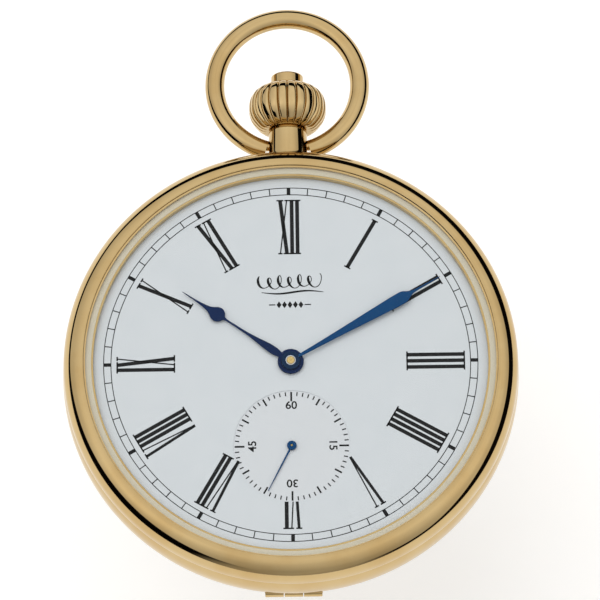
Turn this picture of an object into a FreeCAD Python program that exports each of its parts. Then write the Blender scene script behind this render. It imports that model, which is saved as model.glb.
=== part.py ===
import FreeCAD, Part
import math
import os
import re

import Sketcher

# Open face pocket watch, lying on its back.  Millimetres, +Z out of the dial, +Y to twelve o'clock.
# The origin is the middle of the flat face of the back cover.

doc = FreeCAD.newDocument("OpenFacePocketWatch")
sizes = doc.addObject("Spreadsheet::Sheet", "Sizes")

VALUES = [
    # case
    ("movement_radius", 18.3), ("ring_width", 2.85), ("band_wall", 3.8), ("fit_clearance", 0.05),
    ("back_floor", 0.8), ("back_flat", 14.0), ("band_low", 2.3), ("band_high", 6.9),
    ("bezel_high", 9.6), ("lip_height", 0.9), ("lip_width", 0.55), ("neck_height", 0.65),
    ("bulge", 0.5), ("dial_overhang", 0.85), ("opening_margin", 0.5), ("crystal_seat", 8.9),
    ("crystal_edge", 0.4), ("crystal_rise", 0.95), ("crystal_inner_rise", 0.6),
    # neck, crown and bow
    ("stem_level", 4.6), ("neck_radius", 2.15), ("neck_bore", 1.55), ("neck_length", 3.35),
    ("collar_radius", 2.3), ("collar_height", 0.4), ("bow_offset", 1.7), ("pin_radius", 0.5),
    ("crown_gap", 0.15), ("crown_radius", 4.32), ("crown_height", 5.4), ("flute_count", 24),
    ("flute_radius", 0.42), ("button_radius", 1.82), ("button_stand", 1.4), ("rod_radius", 0.3),
    ("upper_stem_radius", 0.75),
    ("hinge_inset", 0.75), ("knuckle_radius", 0.65), ("hinge_pin_radius", 0.25), ("knuckle_length", 2.1),
    ("bow_ring_radius", 8.1), ("bow_wire_radius", 1.07), ("bow_dip", 0.8),
    # dial and hands
    ("dial_level", 7.6), ("dial_thickness", 0.4), ("subdial_radius", 6.35), ("subdial_depth", 0.08),
    ("hour_hand_length", 14.4), ("minute_hand_length", 19.05), ("seconds_hand_length", 5.8),
    ("hand_thickness", 0.15), ("hour_hand_level", 8.3), ("minute_hand_level", 8.62),
    ("seconds_hand_level", 8.1), ("hour_hand_angle", 305.0), ("minute_hand_angle", 60.0),
    ("seconds_hand_angle", 207.0),
    # plate and bridges
    ("bridge_level", 1.9), ("bridge_thickness", 1.0), ("plate_level", 5.6), ("plate_thickness", 1.2),
    ("rim_width", 2.3), ("foot_width", 1.8), ("screw_head_radius", 1.0), ("screw_head_height", 0.6),
    ("screw_radius", 0.5), ("jewel_radius", 0.75), ("pivot_radius", 0.16), ("arbor_radius", 0.3),
    # going train
    ("barrel_teeth", 72), ("centre_pinion_leaves", 12), ("barrel_module", 0.22),
    ("barrel_direction", 40.0), ("centre_teeth", 80), ("third_pinion_leaves", 10),
    ("centre_module", 0.16), ("third_direction", 231.6), ("third_teeth", 75),
    ("fourth_pinion_leaves", 10), ("third_module", 0.14), ("fourth_distance", 9.57),
    ("fourth_teeth", 80), ("escape_pinion_leaves", 8), ("fourth_module", 0.11),
    ("escape_direction", -30.0), ("escape_teeth", 15), ("escape_radius", 2.6),
    ("lever_direction", 32.0), ("pallet_distance", 3.05), ("balance_distance", 3.48),
    ("balance_radius", 4.9), ("barrel_floor", 3.5), ("barrel_height", 1.9),
    ("arbor_shoulder", 1.6),
    # winding and setting
    ("crown_wheel_teeth", 34), ("ratchet_teeth", 56), ("winding_module", 0.2),
    ("crown_wheel_distance", 11.5), ("contrate_radius", 4.0), ("winding_pinion_radius", 2.0),
    ("stem_radius", 0.5), ("motion_module", 0.18), ("cannon_leaves", 12), ("minute_wheel_teeth", 36),
    ("minute_pinion_leaves", 10), ("hour_wheel_teeth", 40), ("setting_wheel_teeth", 22),
    ("motion_direction", 106.0),
]
for row, (alias, value) in enumerate(VALUES, 1):
    sizes.set("A%d" % row, alias.replace("_", " "))
    sizes.set("B%d" % row, str(value))
    sizes.setAlias("B%d" % row, alias)
doc.recompute()
ALIASES = {alias for alias, value in VALUES}


def bind(text):
    """The expression text with each named size pointed at the sheet."""
    return re.sub(r"[a-z][a-z0-9_]*", lambda m: "Sizes." + m.group() if m.group() in ALIASES else m.group(),
                  str(text))


def val(text):
    """The number an expression text gives now."""
    return float(sizes.evalExpression(bind(text)))


def polar(radius, angle, x="0", y="0"):
    """The expressions of a point at a radius and an angle in degrees from (x, y)."""
    return "%s + (%s) * cos(%s)" % (x, radius, angle), "%s + (%s) * sin(%s)" % (y, radius, angle)


# Derived places of the arbors, as expressions of the sheet.
BAND_BORE = "(movement_radius + ring_width)"
CASE_RADIUS = "(movement_radius + ring_width + fit_clearance + band_wall)"
REBATE = "(movement_radius + ring_width + fit_clearance + 1.35)"
DIAL_RADIUS = "(movement_radius + ring_width + dial_overhang)"
OPENING = "(movement_radius + ring_width + dial_overhang - opening_margin)"
BARREL_DISTANCE = "((barrel_teeth + centre_pinion_leaves) * barrel_module / 2)"
BARREL = polar(BARREL_DISTANCE, "barrel_direction")
THIRD = polar("(centre_teeth + third_pinion_leaves) * centre_module / 2", "third_direction")
FOURTH = ("0", "-fourth_distance")
ESCAPE = polar("(fourth_teeth + escape_pinion_leaves) * fourth_module / 2", "escape_direction",
               "0", "-fourth_distance")
PALLET = polar("pallet_distance", "lever_direction", *ESCAPE)
BALANCE = polar("balance_distance", "lever_direction", *PALLET)
CROWN_WHEEL = ("0", "crown_wheel_distance")
RATCHET_TIP = "(ratchet_teeth * winding_module / 2 + 0.9 * winding_module)"
CLICK = polar(RATCHET_TIP + " + 1.1", "barrel_direction + 60", *BARREL)
CLICK_FOOT = polar("3.5", "barrel_direction - 30", *polar("1.35", "barrel_direction + 60", *CLICK))
CANNON_DISTANCE = "((cannon_leaves + minute_wheel_teeth) * motion_module / 2)"
MINUTE_WHEEL = polar(CANNON_DISTANCE, "motion_direction")
SETTING_WHEEL = polar("(minute_wheel_teeth + setting_wheel_teeth) * motion_module / 2", "84",
                      *MINUTE_WHEEL)
PINION_PLACE = "(crown_wheel_distance + contrate_radius)"
BOW_PLACE = "(%s + bow_offset)" % CASE_RADIUS
BOW_RISE = "(bow_ring_radius - bow_dip)"
NECK_TOP = "(%s + neck_length)" % CASE_RADIUS


class Piece:
    """One body of the document, built from bound sketches."""

    def __init__(self, label, x="0", y="0", z="0"):
        self.body = doc.addObject("PartDesign::Body", label)
        self.body.Label = label
        for axis, text in zip("xyz", (x, y, z)):
            self.body.setExpression(".Placement.Base." + axis, bind(text))
        NODES.append(self.body)

    def sketch(self, plane, loops, circles=(), level="0"):
        """A sketch of closed loops and circles, every point and radius bound to the sheet.

        A loop's entry is (x, y) for a line to the next point, or (x, y, turn, radius) for an arc,
        where turn is 1 for counter-clockwise and -1 for clockwise.
        """
        sk = self.body.newObject("Sketcher::SketchObject", "Sketch")
        origin = [f for f in self.body.Origin.OriginFeatures if f.Role == plane][0]
        sk.AttachmentSupport = [(origin, "")]
        sk.MapMode = "FlatFace"
        sk.setExpression(".AttachmentOffset.Base.z", bind(level))
        for loop in loops:
            first = len(sk.Geometry)
            count = len(loop)
            points = [FreeCAD.Vector(val(p[0]), val(p[1]), 0) for p in loop]
            for i, entry in enumerate(loop):
                a, b = points[i], points[(i + 1) % count]
                if len(entry) == 2:
                    sk.addGeometry(Part.LineSegment(a, b))
                    continue
                turn, radius = entry[2], val(entry[3])
                half = (b - a).Length / 2
                side = FreeCAD.Vector(-(b - a).y, (b - a).x, 0).normalize() * turn
                sag = radius - math.sqrt(max(radius ** 2 - half ** 2, 0.0))
                middle = (a + b) * 0.5 - side * sag
                sk.addGeometry(Part.Arc(a, middle, b))
            for i in range(count):
                a, b = first + i, first + (i + 1) % count
                ends = []
                for index, end in ((a, True), (b, False)):
                    turn = loop[index - first][2] if len(loop[index - first]) > 2 else 1
                    ends.append((2 if end else 1) if turn == 1 else (1 if end else 2))
                sk.addConstraint(Sketcher.Constraint("Coincident", a, ends[0], b, ends[1]))
            for i, entry in enumerate(loop):
                turn = entry[2] if len(entry) > 2 else 1
                start = 1 if turn == 1 else 2
                self.distance(sk, first + i, start, entry[0], entry[1])
                if len(entry) > 2:
                    n = sk.addConstraint(Sketcher.Constraint("Radius", first + i, val(entry[3])))
                    sk.setExpression("Constraints[%d]" % n, bind(entry[3]))
        for x, y, radius in circles:
            centre = FreeCAD.Vector(val(x), val(y), 0)
            n = sk.addGeometry(Part.Circle(centre, FreeCAD.Vector(0, 0, 1), val(radius)))
            self.distance(sk, n, 3, x, y)
            m = sk.addConstraint(Sketcher.Constraint("Radius", n, val(radius)))
            sk.setExpression("Constraints[%d]" % m, bind(radius))
        return sk

    def distance(self, sk, index, end, x, y):
        """Bind one point of a sketch to its place."""
        for kind, text in (("DistanceX", x), ("DistanceY", y)):
            n = sk.addConstraint(Sketcher.Constraint(kind, -1, 1, index, end, val(text)))
            sk.setExpression("Constraints[%d]" % n, bind(text))

    def turned(self, plane, loop):
        """Turn one profile about the upright axis of its plane."""
        feature = self.body.newObject("PartDesign::Revolution", "Revolution")
        sk = self.sketch(plane, [loop])
        feature.Profile = sk
        feature.ReferenceAxis = (sk, ["V_Axis"])
        feature.Angle = 360
        sk.Visibility = False
        return self

    def pad(self, loops, height, circles=(), level="0", plane="XY_Plane"):
        """Raise a sketch by a height."""
        sk = self.sketch(plane, loops, circles, level)
        feature = self.body.newObject("PartDesign::Pad", "Pad")
        feature.Profile = sk
        feature.setExpression("Length", bind(height))
        return self

    def pocket(self, loops, depth, circles=(), level="0", plane="XY_Plane"):
        """Cut a sketch away from its level upwards; on XZ_Plane level is -y and the cut runs to +Y."""
        sk = self.sketch(plane, loops, circles, level)
        feature = self.body.newObject("PartDesign::Pocket", "Pocket")
        feature.Profile = sk
        feature.Reversed = plane != "XZ_Plane"
        feature.setExpression("Length", bind(depth))
        return self


NODES = []


def lathe(label, profile, x="0", y="0", z="0", plane="XZ_Plane"):
    """A turned piece: a profile of radius and height turned about the axis."""
    return Piece(label, x, y, z).turned(plane, profile)


def box_loop(x0, y0, x1, y1):
    return [(x0, y0), (x1, y0), (x1, y1), (x0, y1)]


def ring_sector(inner, outer, start, end):
    """The outline of part of a ring between two angles, for less than half a turn."""
    a, b = polar(outer, start), polar(outer, end)
    c, d = polar(inner, end), polar(inner, start)
    return [(a[0], a[1], 1, outer), b, (c[0], c[1], -1, inner), d]


def steps(*pairs):
    """A stepped profile from the axis: (radius, low, high) for each step, lowest first."""
    loop = [("0", pairs[0][1])]
    for radius, low, high in pairs:
        loop += [(radius, low), (radius, high)]
    loop.append(("0", pairs[-1][2]))
    return loop


def shaped(label, shape, x="0", y="0", z="0", angle=0.0, axis=(0, 0, 1)):
    """A piece whose form comes from a formula that reads the sheet."""
    piece = doc.addObject("Part::Feature", label)
    piece.Label = label
    piece.Shape = shape
    turn = FreeCAD.Rotation(FreeCAD.Vector(*axis), angle)
    piece.Placement = FreeCAD.Placement(FreeCAD.Vector(val(x), val(y), val(z)), turn)
    NODES.append(piece)
    return piece


def drum(radius, low, high, x=0.0, y=0.0):
    """A plain cylinder between two heights."""
    return Part.makeCylinder(val(radius), val(high) - val(low), FreeCAD.Vector(x, y, val(low)))


def prism(points, low, high):
    """A flat outline of points raised between two heights."""
    vectors = [FreeCAD.Vector(x, y, val(low)) for x, y in points]
    face = Part.Face(Part.makePolygon(vectors + vectors[:1]))
    return face.extrude(FreeCAD.Vector(0, 0, val(high) - val(low)))


def toothed(teeth, module, low, high, phase=0.0, fullness=0.4):
    """A spur gear: each tooth leans from its root to a narrow tip; phase is one tooth's angle."""
    count, size = int(round(val(teeth))), val(module)
    pitch = count * size / 2
    outline = []
    for k in range(count):
        middle = math.radians(phase) + 2 * math.pi * k / count
        for radius, side in ((pitch - 1.2 * size, -1.25), (pitch, -1.0), (pitch + 0.9 * size, -0.45),
                             (pitch + 0.9 * size, 0.45), (pitch, 1.0), (pitch - 1.2 * size, 1.25)):
            turn = middle + side * fullness * math.pi / count
            outline.append((radius * math.cos(turn), radius * math.sin(turn)))
    return prism(outline, low, high)


def windows(inner, outer, spokes, width, low, high):
    """What is cut from a wheel to leave its spokes."""
    ring = drum(outer, low, high).cut(drum(inner, low, high))
    for k in range(spokes):
        bar = Part.makeBox(val(outer) + 1, val(width), val(high) - val(low) + 2,
                           FreeCAD.Vector(0, -val(width) / 2, val(low) - 1))
        bar.rotate(FreeCAD.Vector(0, 0, 0), FreeCAD.Vector(0, 0, 1), 360.0 * k / spokes)
        ring = ring.cut(bar)
    return ring


def fused(first, *others):
    return first.multiFuse(list(others)).removeSplitter()


def far_angle(x, y):
    """The direction in degrees from the watch's centre, or between two places."""
    return math.degrees(math.atan2(y, x))


def direction(a, b):
    return far_angle(val(b[0]) - val(a[0]), val(b[1]) - val(a[1]))


def phases(a, b, leaves):
    """Phases for two gears in mesh: a tooth of the first points into a gap of the second."""
    along = direction(a, b)
    return along, along + 180.0 + 180.0 / int(round(val(leaves)))


# ---------------------------------------------------------------- case
RING_LOW = "(band_low + lip_height + 0.15)"
BULGE_ARC = "(((band_high - band_low) / 2) ^ 2 + bulge ^ 2) / (2 * bulge)"
BAND_EDGE = "(%s - bulge)" % CASE_RADIUS
HINGE_Y = "-(%s - hinge_inset)" % CASE_RADIUS
KNUCKLE_END = "(1.5 * knuckle_length + 0.1)"

band = lathe("case_band", [
    (BAND_BORE + " + fit_clearance", RING_LOW), (REBATE, RING_LOW), (REBATE, "band_low"),
    (BAND_EDGE, "band_low", 1, BULGE_ARC), (BAND_EDGE, "band_high"),
    (REBATE + " + 0.45", "band_high"), (REBATE + " + 0.45", "band_high + neck_height"),
    (BAND_BORE + " + fit_clearance", "band_high + neck_height"),
])
# seat of the neck, way of the sleeve and room for the catch at twelve o'clock
band.pocket([], "20", [("0", "stem_level", "neck_radius")], "-(%s - 1.2)" % CASE_RADIUS, "XZ_Plane")
band.pocket([], "20", [("0", "stem_level", "1.15")], "-movement_radius", "XZ_Plane")
band.pocket([box_loop("-1.7", "movement_radius", "1.7", BAND_BORE + " + 0.65")], "2.4", level=RING_LOW)
# hinge: room for the knuckles, the case's two outer knuckles and the way of the pin
band.pocket([], "2 * " + KNUCKLE_END, [(HINGE_Y, "band_low", "knuckle_radius + 0.08")],
            "-" + KNUCKLE_END, "YZ_Plane")
for start in ("-1.5 * knuckle_length", "0.5 * knuckle_length + 0.05"):
    band.pad([], "knuckle_length - 0.05", [(HINGE_Y, "band_low", "knuckle_radius")], start, "YZ_Plane")
band.pad([box_loop("-1.5 * knuckle_length", HINGE_Y + " - 0.1", "-0.5 * knuckle_length - 0.05",
                   HINGE_Y + " + 0.35"),
          box_loop("0.5 * knuckle_length + 0.05", HINGE_Y + " - 0.1", "1.5 * knuckle_length",
                   HINGE_Y + " + 0.35")], "knuckle_radius + 0.3", level="band_low + 0.3")
band.pocket([], "2 * " + KNUCKLE_END, [(HINGE_Y, "band_low", "hinge_pin_radius")],
            "-" + KNUCKLE_END, "YZ_Plane")

DX, DZ = "(%s - 0.05 - back_flat)" % BAND_EDGE, "(band_low - 0.03)"
LIP = "(%s - 0.05)" % REBATE
cover = lathe("back_cover", [
    ("0", "0"), ("back_flat", "0", 1, "(%s ^ 2 + %s ^ 2) / (2 * %s)" % (DX, DZ, DZ)),
    (BAND_EDGE + " - 0.05", DZ), (LIP, DZ), (LIP, "band_low + lip_height"),
    (LIP + " - lip_width", "band_low + lip_height"), (LIP + " - lip_width", "band_low - 0.4"),
    ("back_flat", "back_floor"), ("0", "back_floor"),
])
cover.pocket([box_loop("-1.4", "movement_radius", "1.4", BAND_EDGE + " - 1.5")], "0.4",
             level="band_low + 0.42")
cover.pocket([], "2 * " + KNUCKLE_END, [(HINGE_Y, "band_low", "knuckle_radius + 0.08")],
             "-" + KNUCKLE_END, "YZ_Plane")
cover.pad([], "knuckle_length - 0.1", [(HINGE_Y, "band_low", "knuckle_radius")],
          "-0.5 * knuckle_length + 0.05", "YZ_Plane")
cover.pad([box_loop("-0.5 * knuckle_length + 0.05", HINGE_Y + " - 0.1",
                    "0.5 * knuckle_length - 0.05", HINGE_Y + " + 1.0")],
          "0.5", level="band_low - 0.75")
cover.pocket([], "2 * " + KNUCKLE_END, [(HINGE_Y, "band_low", "hinge_pin_radius + 0.04")],
             "-" + KNUCKLE_END, "YZ_Plane")
Piece("back_hinge_pin").pad([], "3 * knuckle_length", [(HINGE_Y, "band_low", "hinge_pin_radius")],
                            "-1.5 * knuckle_length", "YZ_Plane")

BEZEL_EDGE = "(%s - 0.15)" % CASE_RADIUS
lathe("bezel", [
    (REBATE + " + 0.5", "band_high"), (BEZEL_EDGE, "band_high"),
    (BEZEL_EDGE, "band_high + 0.4", 1, "bezel_high - band_high - 0.35"),
    (REBATE + " + 0.35", "bezel_high"), (REBATE, "bezel_high"), (REBATE, "crystal_seat + 0.4"),
    (REBATE + " - 0.15", "crystal_seat + 0.4"), (REBATE + " - 0.15", "crystal_seat"),
    (OPENING, "crystal_seat"), (OPENING, "dial_level + dial_thickness + 0.1"),
    (DIAL_RADIUS + " + 0.1", "dial_level + dial_thickness + 0.1"),
    (DIAL_RADIUS + " + 0.1", "dial_level"), (REBATE + " + 0.5", "dial_level"),
])
GLASS, GLASS_IN = "(%s - 0.2)" % REBATE, "(%s - 0.2)" % OPENING
DOME = "((%s) ^ 2 + (%s) ^ 2) / (2 * (%s))"
lathe("crystal", [
    ("0", "crystal_seat + crystal_inner_rise", -1, DOME % (GLASS_IN, "crystal_inner_rise",
                                                           "crystal_inner_rise")),
    (GLASS_IN, "crystal_seat"), (GLASS, "crystal_seat"), (GLASS, "crystal_seat + crystal_edge"),
    (GLASS + " - 0.4", "crystal_seat + crystal_edge + 0.15", 1,
     DOME % (GLASS + " - 0.4", "crystal_rise", "crystal_rise")),
    ("0", "crystal_seat + crystal_edge + 0.15 + crystal_rise"),
])

ring = lathe("movement_ring", [
    ("movement_radius + fit_clearance", RING_LOW), (BAND_BORE, RING_LOW),
    (BAND_BORE, "dial_level - 0.03"), ("movement_radius + 0.65", "dial_level - 0.03"),
    ("movement_radius + 0.65", "plate_level + plate_thickness"),
    ("movement_radius + fit_clearance", "plate_level + plate_thickness"),
])
ring.pocket([box_loop("-1.9", "movement_radius - 1", "1.9", BAND_BORE + " + 1")], "2.4", level=RING_LOW)
CASE_SCREW = [polar("(%s - 1.15)" % BAND_BORE, a) for a in ("30", "150", "270")]
ring.pocket([], "2", [(x, y, "screw_radius") for x, y in CASE_SCREW], RING_LOW)
screws = Piece("case_screws")
screws.pad([], "2", [(x, y, "screw_radius") for x, y in CASE_SCREW], RING_LOW)
screws.pad([], "0.4", [(x, y, "1.6") for x, y in CASE_SCREW], RING_LOW + " - 0.4")

# ---------------------------------------------------------------- neck, crown, button and bow
pendant = lathe("pendant", [
    ("neck_bore", CASE_RADIUS + " - 1.2"), ("neck_radius", CASE_RADIUS + " - 1.2"),
    ("neck_radius", CASE_RADIUS), ("collar_radius", CASE_RADIUS),
    ("collar_radius", CASE_RADIUS + " + collar_height - 0.15"),
    ("neck_radius", CASE_RADIUS + " + collar_height"), ("neck_radius", NECK_TOP),
    ("neck_bore", NECK_TOP),
], z="stem_level", plane="XY_Plane")
pendant.pocket([], "6", [(BOW_PLACE, "0", "pin_radius + 0.04")], "-3", "YZ_Plane")

CROWN_LOW = "(%s + crown_gap)" % NECK_TOP
CROWN_TOP = "(%s + crown_height)" % CROWN_LOW
SEAT = "(%s - 2.3)" % CROWN_TOP
crown = lathe("crown", [
    ("upper_stem_radius", CROWN_LOW + " + 1.5"), ("crown_radius - 1.5", CROWN_LOW + " + 1.5"),
    ("crown_radius - 1.5", CROWN_LOW), ("crown_radius - 1.0", CROWN_LOW, 1, "3.2"),
    ("crown_radius", CROWN_LOW + " + 2.4", 1, "3.6"),
    ("crown_radius - 1.6", CROWN_TOP + " - 0.25"), ("crown_radius - 1.75", CROWN_TOP),
    ("button_radius + fit_clearance", CROWN_TOP), ("button_radius + fit_clearance", SEAT),
    ("upper_stem_radius", SEAT),
], z="stem_level", plane="XY_Plane")
flutes = [polar("(crown_radius + 0.22)", "360 / flute_count * %d" % k)
          for k in range(int(val("flute_count")))]
crown.pocket([], "crown_height + 1", [(x, y, "flute_radius") for x, y in flutes],
             "-(%s - 0.3)" % CROWN_LOW, "XZ_Plane")

PIN_Y = "(%s - 1.0)" % NECK_TOP
button = lathe("push_button", [
    ("0", PIN_Y + " - 0.4"), ("rod_radius", PIN_Y + " - 0.4"), ("rod_radius", SEAT + " + 1.0"),
    ("button_radius", SEAT + " + 1.0"), ("button_radius", CROWN_TOP + " + button_stand - 0.35", 1, "0.45"),
    ("button_radius - 0.4", CROWN_TOP + " + button_stand - 0.06", 1,
     "((button_radius - 0.4) ^ 2 + 0.06 ^ 2) / 0.12"),
    ("0", CROWN_TOP + " + button_stand"),
], z="stem_level", plane="XY_Plane")
button.pad([box_loop("-1.05", PIN_Y + " - 0.2", "1.05", PIN_Y + " + 0.2")], "0.4", level="-0.2")
lathe("push_sleeve", [
    ("upper_stem_radius + 0.05", BAND_BORE + " + 0.5"), ("1.1", BAND_BORE + " + 0.5"),
    ("1.1", PIN_Y + " - 0.22"), ("upper_stem_radius + 0.05", PIN_Y + " - 0.22"),
], z="stem_level", plane="XY_Plane")
catch = Piece("catch_spring")
catch.pad([box_loop("-1.3", "band_low + 0.5", "1.3", "stem_level + 1.0")], "0.35",
          [("0", "stem_level", "upper_stem_radius + 0.2")],
          "-(%s + 0.5)" % BAND_BORE, "XZ_Plane")
catch.pad([box_loop("-1.2", BAND_BORE + " + 0.15", "1.2", LIP + " - lip_width - 0.02")],
          "0.25",
          level="band_low + 0.5")

stem = lathe("stem", steps(
    ("0.35", "11.9", "12.4"), ("stem_radius", "12.4", PINION_PLACE + " + 0.9"),
    ("0.35", PINION_PLACE + " + 0.9", PINION_PLACE + " + 1.3"),
    ("stem_radius", PINION_PLACE + " + 1.3", BAND_BORE + " - 0.9"),
    ("upper_stem_radius", BAND_BORE + " - 0.9", SEAT)), z="stem_level", plane="XY_Plane")
stem.pocket([], "12", [("0", "0", "rod_radius + 0.05")], "-(%s - 1.9)" % PIN_Y, "XZ_Plane")
stem.pocket([box_loop("-2", PIN_Y + " - 1.1", "2", PIN_Y + " + 0.3")], "0.5", level="-0.25")


def coil(radius, wire, low, high, turns):
    """A round-wire spring from the formula of a helix."""
    rise = (val(high) - val(low) - 2 * wire) / turns
    path = Part.makeHelix(rise, rise * turns, val(radius))
    ring_face = Part.Wire(Part.Circle(FreeCAD.Vector(val(radius), 0, 0), FreeCAD.Vector(0, 1, 0),
                                      wire).toShape())
    return Part.Wire(path).makePipeShell([ring_face], True, True)


shaped("push_spring", coil("1.2", 0.12, "0", "0.95", 2.5), "0", SEAT + " + 0.16", "stem_level",
       -90, (1, 0, 0))

# the bow's wire ends in flat faces beside the neck, and a pin stands out of each face
bow_ring, bow_wire, face_x = val("bow_ring_radius"), val("bow_wire_radius"), val("neck_radius + 0.2")
bow_start = -math.degrees(math.acos(0.5 * face_x / bow_ring))
ring_wire = Part.makeTorus(bow_ring, bow_wire, FreeCAD.Vector(0, 0, 0), FreeCAD.Vector(0, 0, 1),
                           -180, 180, 180 - 2 * bow_start)
ring_wire.rotate(FreeCAD.Vector(0, 0, 0), FreeCAD.Vector(0, 0, 1), bow_start)
ring_wire.translate(FreeCAD.Vector(0, val(BOW_RISE), 0))
ring_wire = ring_wire.cut(Part.makeBox(2 * face_x, 6, 4, FreeCAD.Vector(-face_x, -3, -2)))
bow_pins = [Part.makeCylinder(val("pin_radius"), face_x + 0.6 - val("neck_bore + 0.05"),
                              FreeCAD.Vector(side * val("neck_bore + 0.05"), 0, 0),
                              FreeCAD.Vector(side, 0, 0)) for side in (-1, 1)]
shaped("bow", fused(ring_wire, *bow_pins), "0", BOW_PLACE, "stem_level")

# ---------------------------------------------------------------- dial and hands
dial = lathe("dial", [
    ("1.05", "dial_level"), (DIAL_RADIUS, "dial_level"), (DIAL_RADIUS, "dial_level + dial_thickness"),
    ("1.05", "dial_level + dial_thickness"),
])
dial.pocket([], "subdial_depth + 1", [(*FOURTH, "subdial_radius")],
            "dial_level + dial_thickness - subdial_depth")
dial.pocket([], "2", [(*FOURTH, "0.32")], "dial_level - 1")
DIAL_FEET = [polar("(movement_radius - 0.9)", a) for a in ("0", "180")]
dial.pad([], "0.65", [(x, y, "0.35") for x, y in DIAL_FEET], "dial_level - 0.65")


def needle(outline, hub, bore, extra=()):
    """A flat hand along +Y: a smooth outline of (distance, half width) pairs, mirrored, and its hub."""
    height = val("hand_thickness")
    sides = []
    for side in (1, -1):
        curve = Part.BSplineCurve()
        curve.interpolate([FreeCAD.Vector(side * w, d, 0) for d, w in outline])
        sides.append(curve.toShape())
    ends = [Part.makeLine(FreeCAD.Vector(outline[n][1], outline[n][0], 0),
                          FreeCAD.Vector(-outline[n][1], outline[n][0], 0)) for n in (0, -1)]
    face = Part.Face(Part.Wire(Part.__sortEdges__(sides + ends)))
    blade = face.extrude(FreeCAD.Vector(0, 0, height))
    rounds = [Part.makeCylinder(r, height, FreeCAD.Vector(0, d, 0)) for d, r in extra]
    whole = blade.multiFuse([Part.makeCylinder(hub, height)] + rounds)
    return whole.cut(Part.makeCylinder(bore, height)).removeSplitter()


HOUR_LENGTH, MINUTE_LENGTH = val("hour_hand_length"), val("minute_hand_length")
hour_outline = [(share * HOUR_LENGTH, width) for share, width in (
    (0.05, 0.42), (0.12, 0.44), (0.19, 0.46), (0.28, 0.34), (0.40, 0.17), (0.52, 0.15), (0.60, 0.20),
    (0.68, 0.50), (0.76, 0.42), (0.84, 0.22), (0.92, 0.12), (1.0, 0.06))]
shaped("hour_hand", needle(hour_outline, 1.43, 0.95, [(0.675 * HOUR_LENGTH, 0.85)]),
       z="hour_hand_level", angle=-val("hour_hand_angle"))
minute_outline = [(share * MINUTE_LENGTH, width) for share, width in (
    (0.03, 0.17), (0.20, 0.28), (0.40, 0.44), (0.60, 0.60), (0.72, 0.70), (0.78, 0.66), (0.82, 0.40),
    (0.86, 0.20), (0.92, 0.15), (1.0, 0.10))]
shaped("minute_hand", needle(minute_outline, 1.03, 0.55), z="minute_hand_level",
       angle=-val("minute_hand_angle"))
SECONDS_LENGTH = val("seconds_hand_length")
seconds_outline = [(share * SECONDS_LENGTH, width) for share, width in (
    (0.05, 0.13), (0.4, 0.10), (0.7, 0.08), (1.0, 0.05))]
shaped("seconds_hand", needle(seconds_outline, 0.53, 0.15), *FOURTH, "seconds_hand_level",
       -val("seconds_hand_angle"))

# ---------------------------------------------------------------- plate and bridges
PLATE_TOP = "(plate_level + plate_thickness)"
BRIDGE_TOP = "(bridge_level + bridge_thickness)"
GAP = "(plate_level - %s)" % BRIDGE_TOP
RIM_IN = "(movement_radius - rim_width)"
FOOT_IN, FOOT_OUT = "(movement_radius - 0.1 - foot_width)", "(movement_radius - 0.1)"

plate = lathe("main_plate", [
    ("0", "plate_level"), ("movement_radius", "plate_level"), ("movement_radius", PLATE_TOP),
    ("movement_radius + 0.6", PLATE_TOP), ("movement_radius + 0.6", "dial_level"),
    (RIM_IN, "dial_level"), (RIM_IN, PLATE_TOP), ("0", PLATE_TOP),
])
plate.pocket([], "3", [("0", "0", "arbor_radius + 0.15"), (*FOURTH, "arbor_radius + 0.05"),
                       (*BARREL, "pivot_radius + 0.6")], "plate_level - 1")
plate.pocket([], "0.5", [(x, y, "jewel_radius") for x, y in (THIRD, ESCAPE, PALLET, BALANCE)],
             "plate_level")
plate.pocket([box_loop("-2.5", "crown_wheel_distance + 0.3", "2.5", PINION_PLACE + " + 1.05")], "3",
             level="plate_level - 1")
plate.pocket([box_loop("-4.7", PINION_PLACE + " - 0.3", "1.3", PINION_PLACE + " + 2.7")], "1",
             level=PLATE_TOP)
plate.pocket([box_loop("-1.45", PINION_PLACE + " + 0.8", "0.05", PINION_PLACE + " + 2.5")], "3",
             level="plate_level - 1")
plate.pocket([], "0.7", [("4.6", "(crown_wheel_distance + 0.9)", "0.33"),
                         ("-4.4", "(crown_wheel_distance + 2.8)", "0.33"),
                         ("-7.7", PINION_PLACE + " - 3.7", "0.35"), (*MINUTE_WHEEL, "0.34"),
                         (*SETTING_WHEEL, "0.34")], PLATE_TOP + " - 0.65")
plate.pocket([], "50", [("0", "dial_level - 0.35", "0.25")], "-25", "YZ_Plane")
plate.pocket([], "1", [(x, y, "0.4") for x, y in DIAL_FEET], "dial_level - 0.7")

# the barrel bridge covers the upper half, with feet clear of the barrel and the stem
EDGE = "(movement_radius - 0.1)"
barrel_bridge = Piece("barrel_bridge")
lower = "1.9"
barrel_bridge.pad([[("sqrt(%s ^ 2 - %s ^ 2)" % (EDGE, lower), lower, 1, EDGE), ("0", EDGE, 1, EDGE),
                    ("-sqrt(%s ^ 2 - %s ^ 2)" % (EDGE, lower), lower)]], "bridge_thickness",
                  level="bridge_level")
for start, end in (("8", "15"), ("65", "78"), ("102", "170")):
    barrel_bridge.pad([ring_sector(FOOT_IN, FOOT_OUT, start, end)], GAP + " + 0.2",
                      level=BRIDGE_TOP + " - 0.2")
barrel_bridge.pocket([], "3", [(*BARREL, "arbor_shoulder + 0.05"), (*CROWN_WHEEL, "0.5"),
                                (*CLICK, "0.28"), (*CLICK_FOOT, "0.28")], "bridge_level - 1")
barrel_bridge.pocket([], "0.75", [(*CROWN_WHEEL, "contrate_radius + 0.5")], "bridge_level")
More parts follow.
